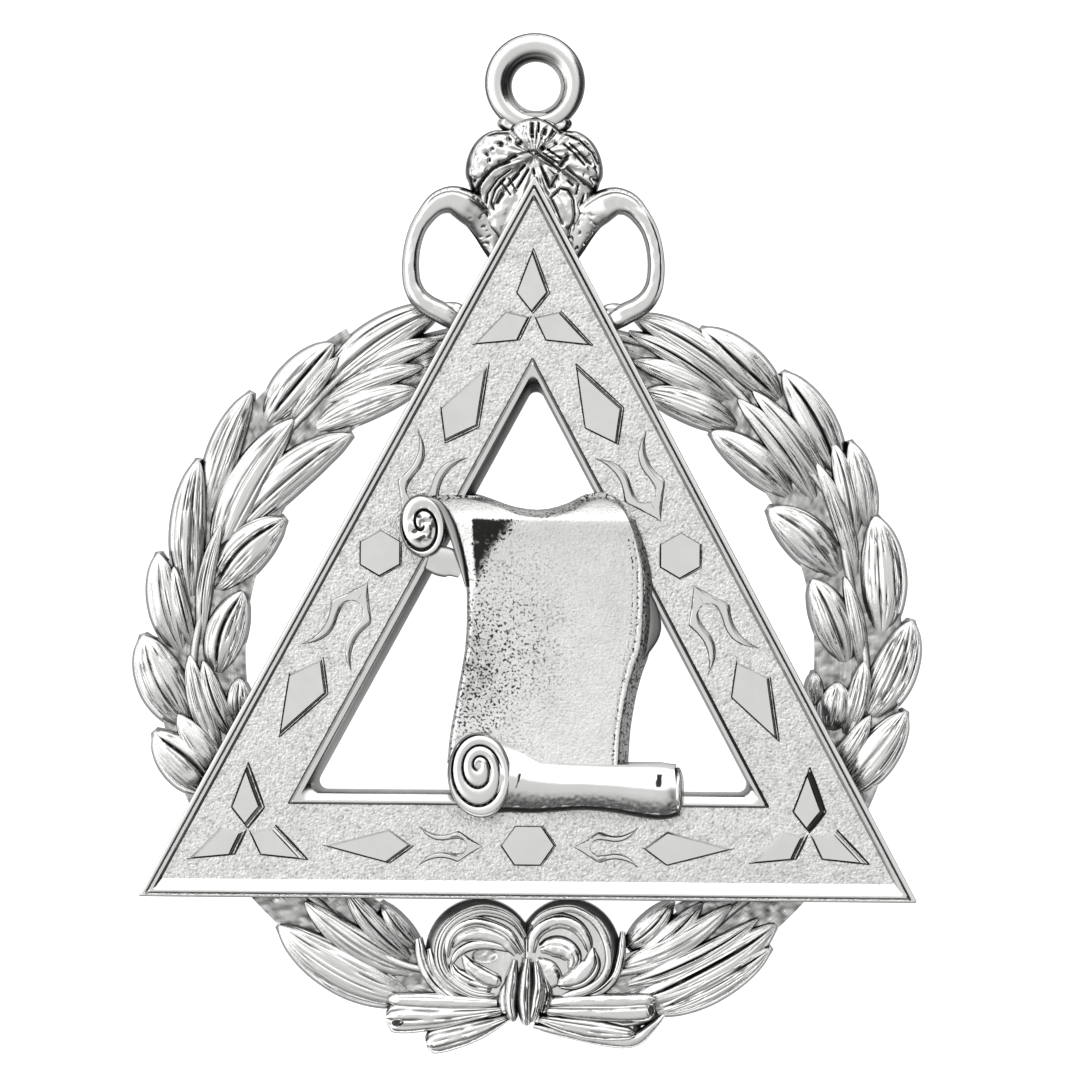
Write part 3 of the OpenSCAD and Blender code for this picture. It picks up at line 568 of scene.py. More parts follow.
def addRib(bm, points, halves, high, dome, lines):
    last, low = len(halves) - 1, high - bowLook["endDrop"]
    half = [(k / last * 0.95, w * bowLook["swell"]) for k, w in enumerate(halves)] + [(1, halves[-1] * 0.45)]
    strip(bm, points, half, [(0, low), (0.15, high), (0.9, high), (1, low)],
          ribSection(lines, dome), 0.03, 20 + 7 * len(points), 22, 0.05)


def addPad(bm, middle, halves, face, lip, shadeAndSpeckTone, count=60, foot=0.03):
    # a low oval pad with a sloping edge; its painted shade is given as (its middle, its edge)
    def surface(a, q):
        high = face - lip * step(0.84, 1, q) + 0.1 * rough(q * cos(a), q * sin(a), face, 2.2)
        return (*ovalPoint(middle, halves, a, q), high), shadeAndSpeckTone[0] + (shadeAndSpeckTone[1] - shadeAndSpeckTone[0]) * step(0.8, 0.92, q)

    polarRelief(bm, count, sharesOut(0.05, 16), surface, pushOut(0.05), foot)


bm = startMesh()
for middle, halves, face in bowLook["pads"]:
    addPad(bm, middle, halves, face, *bowLook["padEdge"])
for row in bowLook["ribs"]:
    addRib(bm, *row)
for row in bowLook["topPads"]:
    addPad(bm, *row)
finishPiece(bm, "ribbonBow", "wreath", crestSilver, sharp=50)


# The triangle: rims all round, drawn ring by ring from the foot of its outer wall over to that of its opening
triangleLook = {
    # inset of the sides, inset of the base, height, corner radius, shift to the right, and how much painted shade it
    # has at the left, the base, the right and the apex
    "rings": [
        (0, 0, 2.45, 0.12, 0, 0.9, 0.9, 0.9, 0.9), (0, 0, 3.8, 0.12, 0, 0.5, 0.9, 0.5, 0.5),
        (0.05, 0.05, 3.9, 0.12, 0, 0.3, 0.8, 0.3, 0.3), (0.1, 0.07, 3.92, 0.12, 0, 0.05, 0.6, 0.05, 0.05),
        (0.33, 0.15, 3.92, 0.12, 0, 0.05, 0.1, 0.05, 0.05),
        (0.36, 0.19, 3.96, 0.12, 0, 1, 0.1, 1, 1), (0.5, 0.36, 4.16, 0.12, 0, 0.9, 0, 0.9, 0.9),
        (0.54, 0.42, 4.2, 0.12, 0, 0, 0, 0, 0), (0.74, 0.56, 4.2, 0.12, 0, 0, 0, 0, 0),
        (0.77, 0.66, 4.16, 0.12, 0, 0.7, 0, 0.4, 0.4), (0.82, 0.76, 4.08, 0.12, 0, 0.2, 0, 0, 0),
        (0.98, 1.56, 3.69, 0.12, 0, 0.9, 0, 0.2, 0.2), (1.1, 1.7, 3.64, 0.12, 0, 0.9, 0.3, 0.3, 0.3),
        (6.8, 7.38, 3.66, 0.1, 0, 1, 1, 1, 0.9), (6.9, 7.47, 3.78, 0.1, 0, 1, 0.9, 1, 0.9),
        (6.97, 7.52, 3.95, 0.1, 0, 0.7, 0.5, 1, 0.5),
        (7.06, 7.58, 4.13, 0.1, 0, 0.1, 0.1, 1, 0.1), (7.13, 7.64, 4.2, 0.1, 0, 0, 0, 0.3, 0),
        (7.4, 7.72, 4.2, 0.3, 0.03, 0, 0, 0, 0), (7.44, 7.9, 4.16, 0.45, 0.06, 0.7, 0, 0.6, 0.8),
        (7.49, 8.3, 3.98, 0.62, 0.12, 0.4, 0, 0.3, 0.9), (7.55, 8.4, 3.85, 0.66, 0.16, 0.5, 0.8, 0.8, 1),
        (7.84, 8.62, 2.9, 0.66, 0.3, 0.6, 0.5, 0.6, 1), (7.86, 8.66, 2.45, 0.66, 0.33, 0.9, 0.9, 0.9, 1)],
    "seed": 7, "groundFrom": (0.9, 1.45), "groundTo": (7.12, 7.66), "cell": 0.155, "pebble": 0.035, "groundFoot": 3.3,
    "sideBand": 6.8,  # the width of the side bands, the unit of the ornaments
}


def ringShade(i, left, base, right, apex):
    # the painted shade of a side keeps its value from one rounded corner to the next
    steps = plan["cornerSteps"]
    if i <= steps:
        return left + (base - left) * i / steps
    return base + (right - base) * (i - steps - 1) / steps if i < 2 * steps + 2 else apex


bm = startMesh()
ring = startRing(bm, 3 * plan["cornerSteps"] + 3)
firstRing = dict(ring)
for k, (side, base, z, r, shift, *shadeTones) in enumerate(triangleLook["rings"]):
    if k:
        ring = growRing(bm, ring)
    points = roundTriangle(side, base, r)
    for v, i in ring.items():
        v.co = (points[i].x + shift, points[i].y, z)
        v[shadeAndSpecksLayer(bm)] = ringShade(i, *shadeTones)
ring = growRing(bm, ring)
seam = {i: v.co.copy() for v, i in firstRing.items()}
for v, i in ring.items():
    v.co = seam[i]
finishPiece(bm, "triangleRims", "triangle", polishedSilver, sharp=24)


# the vector noise of the pebbles takes its offsets from this seed
noise.seed_set(triangleLook["seed"])


def pebbleAt(x, y):
    near = noise.voronoi(Vector((x, y, 0)) * 2.7 + 0.4 * noise.noise_vector(Vector((x, y, 5)) * 1.1))[0]
    mound = min((near[1] - near[0]) * 2.2, 1)
    return mound ** 0.7 * (0.7 + 0.6 * rough(x, y, 1, 0.9)) + 0.25 * rough(x, y, 2, 3.1)


# the ground between the rims: a fine grid cut to the band, with walls down and a floor
bm = startMesh()
wide, tall = 2 * plan["halfBase"], plan["apexY"] - plan["baseY"]
cell = triangleLook["cell"]
bmesh.ops.create_grid(bm, x_segments=int(wide / cell), y_segments=int(tall / cell), size=1)
for v in bm.verts:
    v.co = (v.co.x * wide / 2, plan["baseY"] + tall * (v.co.y + 1) / 2, plan["groundZ"])
holeSide, holeBase = triangleLook["groundTo"]
unwanted = []
for f in bm.faces:
    x, y, z = f.calc_center_median()
    away = outsideTriangle(x, y)
    if away > 0.2 or (away < -holeSide and y > plan["baseY"] + holeBase):
        unwanted.append(f)
bmesh.ops.delete(bm, geom=unwanted, context="FACES")
cutTo(bm, insetTriangle(*triangleLook["groundFrom"]))
bmesh.ops.delete(bm, geom=[v for v in bm.verts if not v.link_faces], context="VERTS")
for v in bm.verts:
    mound = pebbleAt(v.co.x, v.co.y)
    v.co.z += triangleLook["pebble"] * (mound - 0.6)
    # painted shade: the ground is painted darker between the pebbles
    v[shadeAndSpecksLayer(bm)] = max(0, 0.9 - 1.5 * mound)
low = growRing(bm, {v: 0 for v in bm.verts if v.is_boundary})
for v in low:
    v.co.z = triangleLook["groundFoot"]
bmesh.ops.bridge_loops(bm, edges=ringEdges(low))
finishPiece(bm, "pebbledGround", "triangle", stippledSilver, sharp=80)


# The ornaments, as shares of the side band's width: kites, hexagons and open forks
ornamentLook = {
    "rise": 0.19, "sunk": 0.12,
    # width of a plate's wall by the way it faces, and half widths of the painted shade lines at its foot and top
    "wallNorth": 0.36, "wallEast": 0.42, "wallRest": 0.1, "wallLeast": 0.08,
    "footShadeLine": 0.1, "topShadeLine": 0.07, "thinShadeLine": 0.045,
    # place as shares of the half base and the height, which way it points, and the shape
    "kites": [(0.222, 0.628, "up", (1.07, 0.257, 0.353)), (0.53, 0.332, "down", (1.07, 0.257, 0.353)),
              (0.294, 0.073, "flat", (1.07, 0.206, 0.28))],
    "forks": [(0.332, 0.523, "up", (1.01, 0.262)), (0.418, 0.435, "down", (1.01, 0.262)),
              (0.117, 0.073, "flat", (0.75, 0.18))],
    # the two edges of a fork's arm: shares of its length and of its half width
    "forkOuter": [(0, 0), (0.13, 0.33), (0.26, 0.68), (0.36, 0.95), (0.41, 1), (0.51, 0.86), (0.63, 0.78),
                  (0.76, 0.83), (0.89, 1.02), (1, 1.3)],
    "forkInner": [(0, 0), (0.12, 0), (0.24, 0.02), (0.28, 0.3), (0.36, 0.46), (0.49, 0.44), (0.62, 0.36),
                  (0.75, 0.42), (0.88, 0.72), (0.99, 1.26)],
}


def addShadeLine(bm, a, b, half, z):
    # a painted shade line: a dark strip laid along an edge
    strip(bm, [a, a.lerp(b, 0.5), b], [(0, half * 0.6), (0.5, half), (1, half * 0.6)], [(0, z), (1, z)],
          lambda s, e, w: (0.04 * e * e, 1), plan["groundZ"] - 0.2, 8, 4, 0, 0)


def addPlate(bm, outline, bold=1, shadeAcrossWall=False):
    # a low plate whose walls are wide to the north and the east, with painted shade lines along the east ones, and
    # one across the middle of an east wall when asked
    look = ornamentLook
    low, high = plan["groundZ"] - look["sunk"], plan["groundZ"] + look["rise"]
    corners = [Vector(p) for p in outline]
    if sum(a.cross(b) for a, b in zip(corners, corners[1:] + corners[:1])) < 0:
        corners.reverse()
    count = len(corners)
    edges = []
    for k in range(count):
        way = (corners[(k + 1) % count] - corners[k]).normalized()
        out = Vector((way.y, -way.x))
        east, north = out.x > 0.35 and out.y < 0.75, out.y > 0.5
        width = look["wallEast" if east else "wallNorth" if north else "wallRest"]
        edges.append((corners[k] - out * max(width * bold, look["wallLeast"]), way, east, north))
    tops = []
    for k in range(count):
        (p, d, *_), (q, e, *_) = edges[k - 1], edges[k]
        tops.append(p + d * ((q - p).cross(e) / d.cross(e)))
    bottom = bm.faces.new([bm.verts.new((p.x, p.y, low)) for p in corners])
    raised = bmesh.ops.extrude_face_region(bm, geom=[bottom])["geom"]
    top = next(g for g in raised if isinstance(g, bmesh.types.BMFace))
    for v in top.verts:
        k = min(range(count), key=lambda i: (corners[i] - v.co.xy).length)
        v.co = (tops[k].x, tops[k].y, high)
    for k in range(count):
        a, b, c, d = corners[k], corners[(k + 1) % count], tops[k], tops[(k + 1) % count]
        east, north = edges[k][2:]
        if east:
            addShadeLine(bm, a, b, look["footShadeLine"] * bold, plan["groundZ"] + 0.1)
            addShadeLine(bm, c, d, look["topShadeLine"] * bold, high + 0.02)
            if shadeAcrossWall:
                addShadeLine(bm, a.lerp(c, 0.5), b.lerp(d, 0.5), look["wallEast"] * 0.5, high - 0.02)
        elif not north:
            addShadeLine(bm, a, b, look["thinShadeLine"], plan["groundZ"] + 0.13)


def placed(points, spot, turn, mirror):
    out = []
    for p in points:
        q = Vector(p) * triangleLook["sideBand"]
        x = spot[0] + q.x * cos(turn) - q.y * sin(turn)
        y = spot[1] + q.x * sin(turn) + q.y * cos(turn)
        out.append(((-x if mirror else x), y))
    return out


def kite(length, half, shoulder):
    return [(0, 0), (shoulder, -half), (length, 0), (shoulder, half)]


def hexagon(w, h):
    return [(w / 2 * cos(radians(a)), h / 2 * sin(radians(a)) / sin(pi / 3))
            for a in range(0, 360, 60)]


def addFork(bm, length, half, spot, turn, mirror):
    for way in (-1, 1):
        sides = []
        for key in ("forkInner", "forkOuter"):
            points = placed([(x * length, way * y * half) for x, y in ornamentLook[key]], spot, turn, mirror)
            sides.append(evenly([Vector(p) for p in points]))

        def surface(s, a):
            inner, outer = flow(sides[0], s), flow(sides[1], s)
            across = outer - inner
            wide = max(across.length, 0.01)
            aim = across / wide
            share = (a + 1) / 2
            fall, line = 0, 0
            for away, out, joined in (((1 - share) * wide, aim, False), (share * wide, -aim, s < 0.24)):
                if joined:
                    continue
                wall = 0.26 if out.x > 0.2 else 0.22 if out.y > 0.5 else 0.12
                wall = min(wall, wide * 0.42)
                fall = max(fall, step(wall, 0, away))
                # painted shade lines along the arm's edges, darkest to the east and the south
                dark = 1 if out.x > 0.2 or out.y < 0 else 0.55
                line = max(line, dark * step(0.1, 0.02, away), (0.8 * bell(away - wall, 0.045) if out.x > 0.2 else 0))
            p = inner.lerp(outer, share)
            return (p.x, p.y, plan["groundZ"] + ornamentLook["rise"] * (1 - 0.85 * fall)), line

        gridRelief(bm, 60, 14, surface, upright, plan["groundZ"] - ornamentLook["sunk"])


def triPlace(x, y):
    return x * plan["halfBase"], plan["baseY"] + y * (plan["apexY"] - plan["baseY"])


turns = {"up": pi - upLeft, "down": -upLeft, "flat": 0}
bm = startMesh()
for spot, mirror in ((triPlace(0, 0.805), False), (triPlace(0.72, 0.093), False), (triPlace(0.72, 0.093), True)):
    for a in (90, 206, -26):
        turn = radians(a)
        near = (spot[0] + 0.14 * cos(turn), spot[1] + 0.14 * sin(turn))
        addPlate(bm, placed(kite(0.765, 0.194, 0.243), near, turn, mirror), 0.6 if spot[0] == 0 else 1,
                 a == 90 and spot[0] > 0 and not mirror)
addPlate(bm, placed(hexagon(0.65, 0.47), triPlace(0, 0.075), 0, False), 0.4)
for mirror in (False, True):
    for x, y, way, shape in ornamentLook["kites"]:
        addPlate(bm, placed(kite(*shape), triPlace(x, y), turns[way], mirror), 0.7)
    addPlate(bm, placed(hexagon(0.56, 0.485), triPlace(0.385, 0.476), radians(30), mirror), 0.4)
    for x, y, way, shape in ornamentLook["forks"]:
        addFork(bm, *shape, triPlace(x, y), turns[way], mirror)
finishPiece(bm, "raisedOrnaments", "triangle", ornamentSilver, sharp=20)


# The scroll: a sheet between two rolls, over a deep body that drops into the opening
scrollLook = {
    # edges of the sheet: share along them, and the place
    "leftEdge": [(0, -8.9, 3.8), (0.04, -7.2, 3.2), (0.11, -6.3, 1.5), (0.18, -5.75, 0), (0.25, -5.35, -1.5),
                 (0.32, -5.05, -3), (0.43, -4.97, -5.3), (0.5, -5, -6.9), (0.57, -5.12, -8.4),
                 (0.64, -5.35, -9.9), (0.71, -5.63, -11.4), (0.79, -5.88, -13), (0.88, -6.19, -14.8),
                 (1, -6.44, -17.3)],
    "rightEdge": [(0, 7.84, 1.86), (0.06, 8.36, 0.6), (0.13, 8.76, -0.7), (0.2, 9.1, -2.2), (0.27, 9.17, -3.5),
                  (0.36, 9.17, -5.3), (0.44, 9.1, -6.8), (0.52, 8.92, -8.4), (0.6, 8.4, -9.9),
                  (0.68, 7.98, -11.4), (0.77, 7.67, -13), (0.87, 7.42, -14.8), (1, 7.28, -17.3)],
    "topEdge": [(0, -8.9, 3.8), (0.11, -7, 3.92), (0.25, -4.6, 3.76), (0.34, -3.1, 3.32), (0.44, -1.4, 2.73),
                (0.57, 0.84, 2.5), (0.69, 2.8, 3), (0.79, 4.5, 3.86), (0.84, 5.3, 4.06), (0.9, 6.23, 3.83),
                (0.96, 7.14, 3.22), (1, 7.84, 1.86)],
    # the height of the sheet from below to above, and how it folds down under the upper edge
    "lie": [(-17.3, 5.62), (-13, 5.42), (-8, 5.36), (-4, 5.4), (0, 5.6), (2.1, 5.85), (4, 5.85)],
    "crease": 2.1, "fold": 0.12, "cells": (130, 110),
    # the left and right edges of the painted shade below the fold
    "foldShadeLeft": [(-2, -4.7), (0, -4.62), (1.5, -4.5), (3, -4.36), (5, -4.5)],
    "foldShadeRight": [(-2.2, -1.3), (-1, -2.1), (0, -3), (1.5, -3.75), (3, -4.2), (5, -4.4)],
    # the lower roll: place, half width, and height as a share of it
    "footRoll": [(-3.1, -18.23, 2.9, 0.7), (-1.4, -18.49, 2.59, 0.78), (0.42, -18.87, 2.2, 0.85),
                 (2.38, -19, 1.91, 0.95), (4.48, -19, 1.78, 1), (7, -19.13, 1.85, 1),
                 (9.24, -19.31, 2.05, 0.96), (10.64, -19.38, 2.1, 0.95), (11.7, -19.3, 1.9, 0.9)],
    # the painted shade along the edge of the sheet beside the upper curl, and the patch of its reverse: points, half
    # widths, height
    "curlEdge": ([(-8.9, 3.85), (-7.4, 3.3), (-6.5, 1.8), (-5.95, 0.2), (-5.5, -1.4), (-5.1, -3.3)],
                 (0.08, 0.3, 0.36, 0.32, 0.24, 0.08), 6),
    "reverse": ([(-8.1, -1), (-7.2, -1.25), (-6.2, -1.5), (-5.4, -2.1)], (1, 1.2, 1.1, 0.6), 4.95),
    # a web of metal between the sheet and the right rim, painted in shade: the same
    "web": ([(9.2, -3.2), (9.75, -5), (9.85, -6.6), (9.1, -8.8)], (0.1, 0.42, 0.52, 0.1), 4.6),
    # marks on the lower roll: share along, side across from and to, half width
    "marks": [(0.155, -0.3, 0.3, 0.006), (0.9, 0.1, 0.7, 0.014)],
    # the end of the lower roll: middle and half sizes
    "rollEnd": ((11.85, -19.28), (0.48, 1.8)),
    # the deep body: how far inside the triangle's outline it stays, its foot and its height
    "bodyInset": (8.25, 8.75), "bodyFoot": 2.5, "bodyTall": 1.65,
}


def sheetHeight(x, y):
    z = flow(scrollLook["lie"], y)
    over, fold = y - scrollLook["crease"], scrollLook["fold"]
    z -= 0.55 * (sqrt(over * over + fold * fold) + over) / 2 + 0.12 * max(over, 0) ** 2
    # the left margin falls away to the left
    margin = flow(scrollLook["foldShadeLeft"], -y)
    return z - 0.26 * max(margin + 0.1 - x, 0) * step(-6, -1, y)


def sheetSurface(s, a):
    t = 1 - (a + 1) / 2
    upper, west, east = (scrollLook[key] for key in ("topEdge", "leftEdge", "rightEdge"))
    heads, feet = (upper[0][1], upper[-1][1]), (west[-1][1], east[-1][1])
    p = (flow(upper, s) * (1 - t) + feet[0].lerp(feet[1], s) * t + flow(west, t) * (1 - s) + flow(east, t) * s
         - heads[0] * ((1 - s) * (1 - t)) - heads[1] * (s * (1 - t)) - feet[0] * ((1 - s) * t) - feet[1] * (s * t))
    z = sheetHeight(p.x, p.y)
    edge = min(s * 15, (1 - s) * 15, t * 20)
    z -= 0.3 * max(0, 1 - edge / 0.35) ** 2
    z -= 0.05 * bell(s - 0.955, 0.006) * step(0.1, 0.2, t)
    matte = step(scrollLook["crease"] + 0.1, scrollLook["crease"] - 0.3, p.y)
    z += matte * 0.012 * rough(p.x, p.y, 0, 3.3)
    # painted shade below the fold at the left, a darker speckled tone lower down, two fine painted shade lines beside
    # the right edge, and painted shade along the rim
    west, east = flow(scrollLook["foldShadeLeft"], -p.y), flow(scrollLook["foldShadeRight"], -p.y)
    foldShade = step(west - 0.08, west + 0.12, p.x) * step(east + 0.8, east - 0.6, p.x) * step(2.16, 2.02, p.y)
    foldShade *= step(-4.2, -2.2, p.y) * (1 - 0.35 * step(0.2, 0.5, rough(p.x, p.y, 7, 2.8)))
    narrow = hypot((p.x + 4.5) / 3.3, (p.y + 10) / 5.6)
    wide = hypot((p.x + 3) / 6.5, (p.y + 8) / 9)
    blotch = step(-0.5, 0.3, rough(p.x, p.y, 3, 1.4))
    speckled = 0.36 * step(1.3, 0.2, narrow) * (0.35 + 0.65 * blotch) + 0.12 * step(1.25, 0.3, wide)
    lines = 0.5 * bell(s - 0.955, 0.005) + 0.35 * bell(s - 0.925, 0.004) * step(0.75, 0.3, t)
    shadeAndSpeckTone = max(foldShade, speckled, lines * step(0.08, 0.16, t), 0.4 * step(0.35, 0, edge))
    return (p.x, p.y, z), shadeAndSpeckTone


for key in ("leftEdge", "rightEdge", "topEdge"):
    scrollLook[key] = [(k, Vector(p)) for k, *p in scrollLook[key]]


def sheetOutward(s, a):
    return 0.5 if s > 0.999 else -0.08 if s < 0.001 else 0, 0.06 + 0.2 * step(0.12, 0.35, s) if a > 0.999 else 0


bm = startMesh()
gridRelief(bm, *scrollLook["cells"], sheetSurface, sheetOutward, plan["scrollFoot"], 0.45)
finishPiece(bm, "scrollSheet", "scroll", sheetSilver, sharp=45)

# the deep body, kept inside the opening
bm = startMesh()
outline = [flow(scrollLook["leftEdge"], k / 20) + Vector((0.02, 0)) for k in range(20, -1, -1)]
outline += [flow(scrollLook["topEdge"], k / 20) + Vector((0, 0.05)) for k in range(1, 20)]
outline += [flow(scrollLook["rightEdge"], k / 20) + Vector((0.12, 0)) for k in range(21)]
bm.faces.new([bm.verts.new((p.x, p.y, scrollLook["bodyFoot"])) for p in outline])
cutTo(bm, insetTriangle(*scrollLook["bodyInset"]))
raised = bmesh.ops.extrude_face_region(bm, geom=bm.faces[:])["geom"]
bmesh.ops.translate(bm, vec=(0, 0, scrollLook["bodyTall"]),
                    verts=[g for g in raised if isinstance(g, bmesh.types.BMVert)])
for v in bm.verts:
    # painted shade over the whole deep body
    v[shadeAndSpecksLayer(bm)] = 0.8
    if v.co.z < 3 and v.co.x > 6.5:
        v.co.x += 0.5
    if v.co.z < 3 and v.co.y > 1.5:
        v.co.y += 0.35
finishPiece(bm, "scrollBody", "scroll", polishedSilver, sharp=40)

bm = startMesh()
rows = scrollLook["footRoll"]
path = [(x, y) for x, y, w, h in rows]
shares = [k for k, p in routeRows(path)]
rise = [(k, w * h) for k, (x, y, w, h) in zip(shares, rows)]


def rollSection(s, e, wide):
    high = flow(rise, s)
    mark = 0
    for place, low, up, thin in scrollLook["marks"]:
        ragged = thin * (1 + 0.6 * rough(s * 9, e * 5, place, 1))
        along = step(1.3, 0.9, abs(s - place - 0.012 * e) / ragged)
        mark = max(mark, along * step(low, low + 0.1, e) * step(up, up - 0.1, e))
    if e > 0:
        return (high - 1.2) * (1 - cos(pi * min(e * 1.02, 1))) / 2 + 0.05 * mark, mark
    # painted shade: the lower side of the roll is painted darker, with a dark line at its foot
    low = step(0.2, 0.5, -e)
    grain = (0.42 + 0.35 * rough(s * 55, e * 9, 0, 1)) * low
    return 0.5 * wide * e * e + 0.04 * rough(s * 40, e * 7, 4, 1) * low, max(step(0.8, 0.92, -e), grain, mark)


strip(bm, path, [(k, w) for k, (x, y, w, h) in zip(shares, rows)], [(k, plan["lapZ"] + z) for k, z in rise],
      rollSection, plan["scrollFoot"], 170, 44, 0.18, 0.8)
middle, halves = scrollLook["rollEnd"]
# painted shade around the rim of the roll's end
polarRelief(bm, 48, sharesOut(0.05, 14),
            lambda a, q: ((*ovalPoint(middle, halves, a, q), 6.1 - 1.1 * q ** 3), step(0.86, 1, q)), upright,
            plan["scrollFoot"])
points, halves, high = scrollLook["curlEdge"]
# painted shade along the curl's edge strip
strip(bm, points, evenly(halves), [(0, high), (1, high - 0.6)],
      lambda s, e, w: (0.1 * e * e, 0.55 + 0.4 * bell(abs(e) - 1, 0.3)), plan["scrollFoot"], 40, 8, 0, 0.2)
# painted shade on the reverse patch and on the web
for key, shadeLevel in (("reverse", 0.25), ("web", 0.75)):
    points, halves, high = scrollLook[key]
    strip(bm, points, evenly(halves), [(0, high), (1, high)],
          lambda s, e, w: (0.12 * e * e, max(shadeLevel, step(0.8, 0.95, abs(e)))), plan["scrollFoot"], 30, 16, 0, 0.2)
finishPiece(bm, "footRoll", "scroll", polishedSilver, sharp=50)

curlLook = {
    # middle, half sizes, lean, height of the face, turns of the spiral, its depth, and how far its eye lies up
    "footCurl": ((-3.9, -18.2), (2.5, 3.35), 0.08, 6.25, 2.9, 0.26, 0.85),
    "headCurl": ((-8.6, 1.5), (1.75, 2.45), 0.12, 5.95, 1.6, 0.3, 0.2),
}
for name, (middle, halves, lean, face, turns, deep, lift) in curlLook.items():
    bm = startMesh()

    def curlSurface(angle, share):
        x, y = halves[0] * share * cos(angle), halves[1] * share * sin(angle) + lift * (1 - share)
        part = (share * turns + angle / (2 * pi)) % 1
        groove = step(0, 0.11, part) * step(1, 0.88, part)
        groove = 1 if share > 0.95 else groove
        inside = step(0.06, 0.16, share)
        z = face - deep * (1 - groove) * inside + 0.2 * (1 - share) - 0.25 * step(0.93, 1, share)
        z += 0.12 * sin(pi * part) * inside
        if name == "headCurl":
            crumple = step(0.75, 0.5, share)
            z += crumple * 0.16 * rough(x, y, 3, 1.9)
            groove = min(groove, 1 - crumple * step(0.12, 0.3, rough(x, y, 9, 1.7)))
        px = middle[0] + x * cos(lean) - y * sin(lean)
        py = middle[1] + x * sin(lean) + y * cos(lean)
        # painted shade on the upper left of the outer band, in the grooves and at the rim
        sideShade = 0.34 * bell(angle - 2.6, 1.2) * step(0.7, 0.9, share)
        return (px, py, z), min((1 - groove) * inside * 0.85 + sideShade + step(0.96, 1, share) * 0.7, 0.9)

    polarRelief(bm, 120, sharesOut(0.02, 64), curlSurface, pushOut(0.08), plan["scrollFoot"])
    finishPiece(bm, name, "scroll", polishedSilver, sharp=50)


# The hanger: a turned suspension ring, a fluted crest and two side loops
ringLook = {
    # the middle across and up, radius, height, how much painted shade it has all round, at the upper left and at the
    # right
    "rings": [
        (0, 36.8, 3.7, 1.56, 0.9, 0, 0), (0, 36.8, 3.94, 1.9, 0.9, 0, 0),
        (0, 36.85, 4, 2.6, 1, 0, 0), (0, 36.85, 3.96, 3.15, 1, 0, 0),
        (0, 36.85, 3.86, 3.36, 0.9, 0, 0.3), (0, 36.85, 3.78, 3.48, 0.15, 0, 0.9),
        (0, 36.85, 3.6, 3.6, 0, 0, 0.3), (0, 36.83, 3.25, 3.66, 0, 0, 0),
        (0.02, 36.8, 2.92, 3.68, 0, 0, 0),
        (0.04, 36.74, 2.66, 3.6, 0.1, 0.2, 0), (0.06, 36.7, 2.48, 3.42, 0.3, 0.5, 0),
        (0.08, 36.66, 2.34, 3.34, 0, 0.6, 0), (0.1, 36.62, 2.16, 3.16, 0.1, 1, 0.1),
        (0.1, 36.6, 1.98, 2.7, 0.4, 0.8, 0), (0.1, 36.6, 1.94, 2.1, 0.7, 0.5, 0),
        (0.08, 36.62, 2.1, 1.7, 0.9, 0, 0), (0.04, 36.72, 2.8, 1.56, 0.9, 0, 0)],
    "count": 120,
    # the neck under the ring: middle, half sizes, height, lip, how much painted shade it has, count of corners, and
    # foot
    "neck": ((0, 33.65), (2.95, 0.95), 3.5, 0.4, (0.1, 0.6), 60, 1.7),
}

bm = startMesh()
ring = startRing(bm, ringLook["count"])
for k, (x, y, r, z, *shadeTones) in enumerate(ringLook["rings"] + ringLook["rings"][:1]):
    if k:
        ring = growRing(bm, ring)
    for v, i in ring.items():
        a = 2 * pi * i / ringLook["count"] - pi
        v.co = (x + r * cos(a), y + r * sin(a), z)
        # painted shade all round, at the upper left and at the right
        v[shadeAndSpecksLayer(bm)] = (shadeTones[0] + shadeTones[1] * max(cos(a - radians(135)) + 0.2, 0)
                           + shadeTones[2] * max(cos(a + radians(25)), 0))
addPad(bm, *ringLook["neck"])
finishPiece(bm, "suspensionRing", "hanger", polishedSilver, sharp=40)

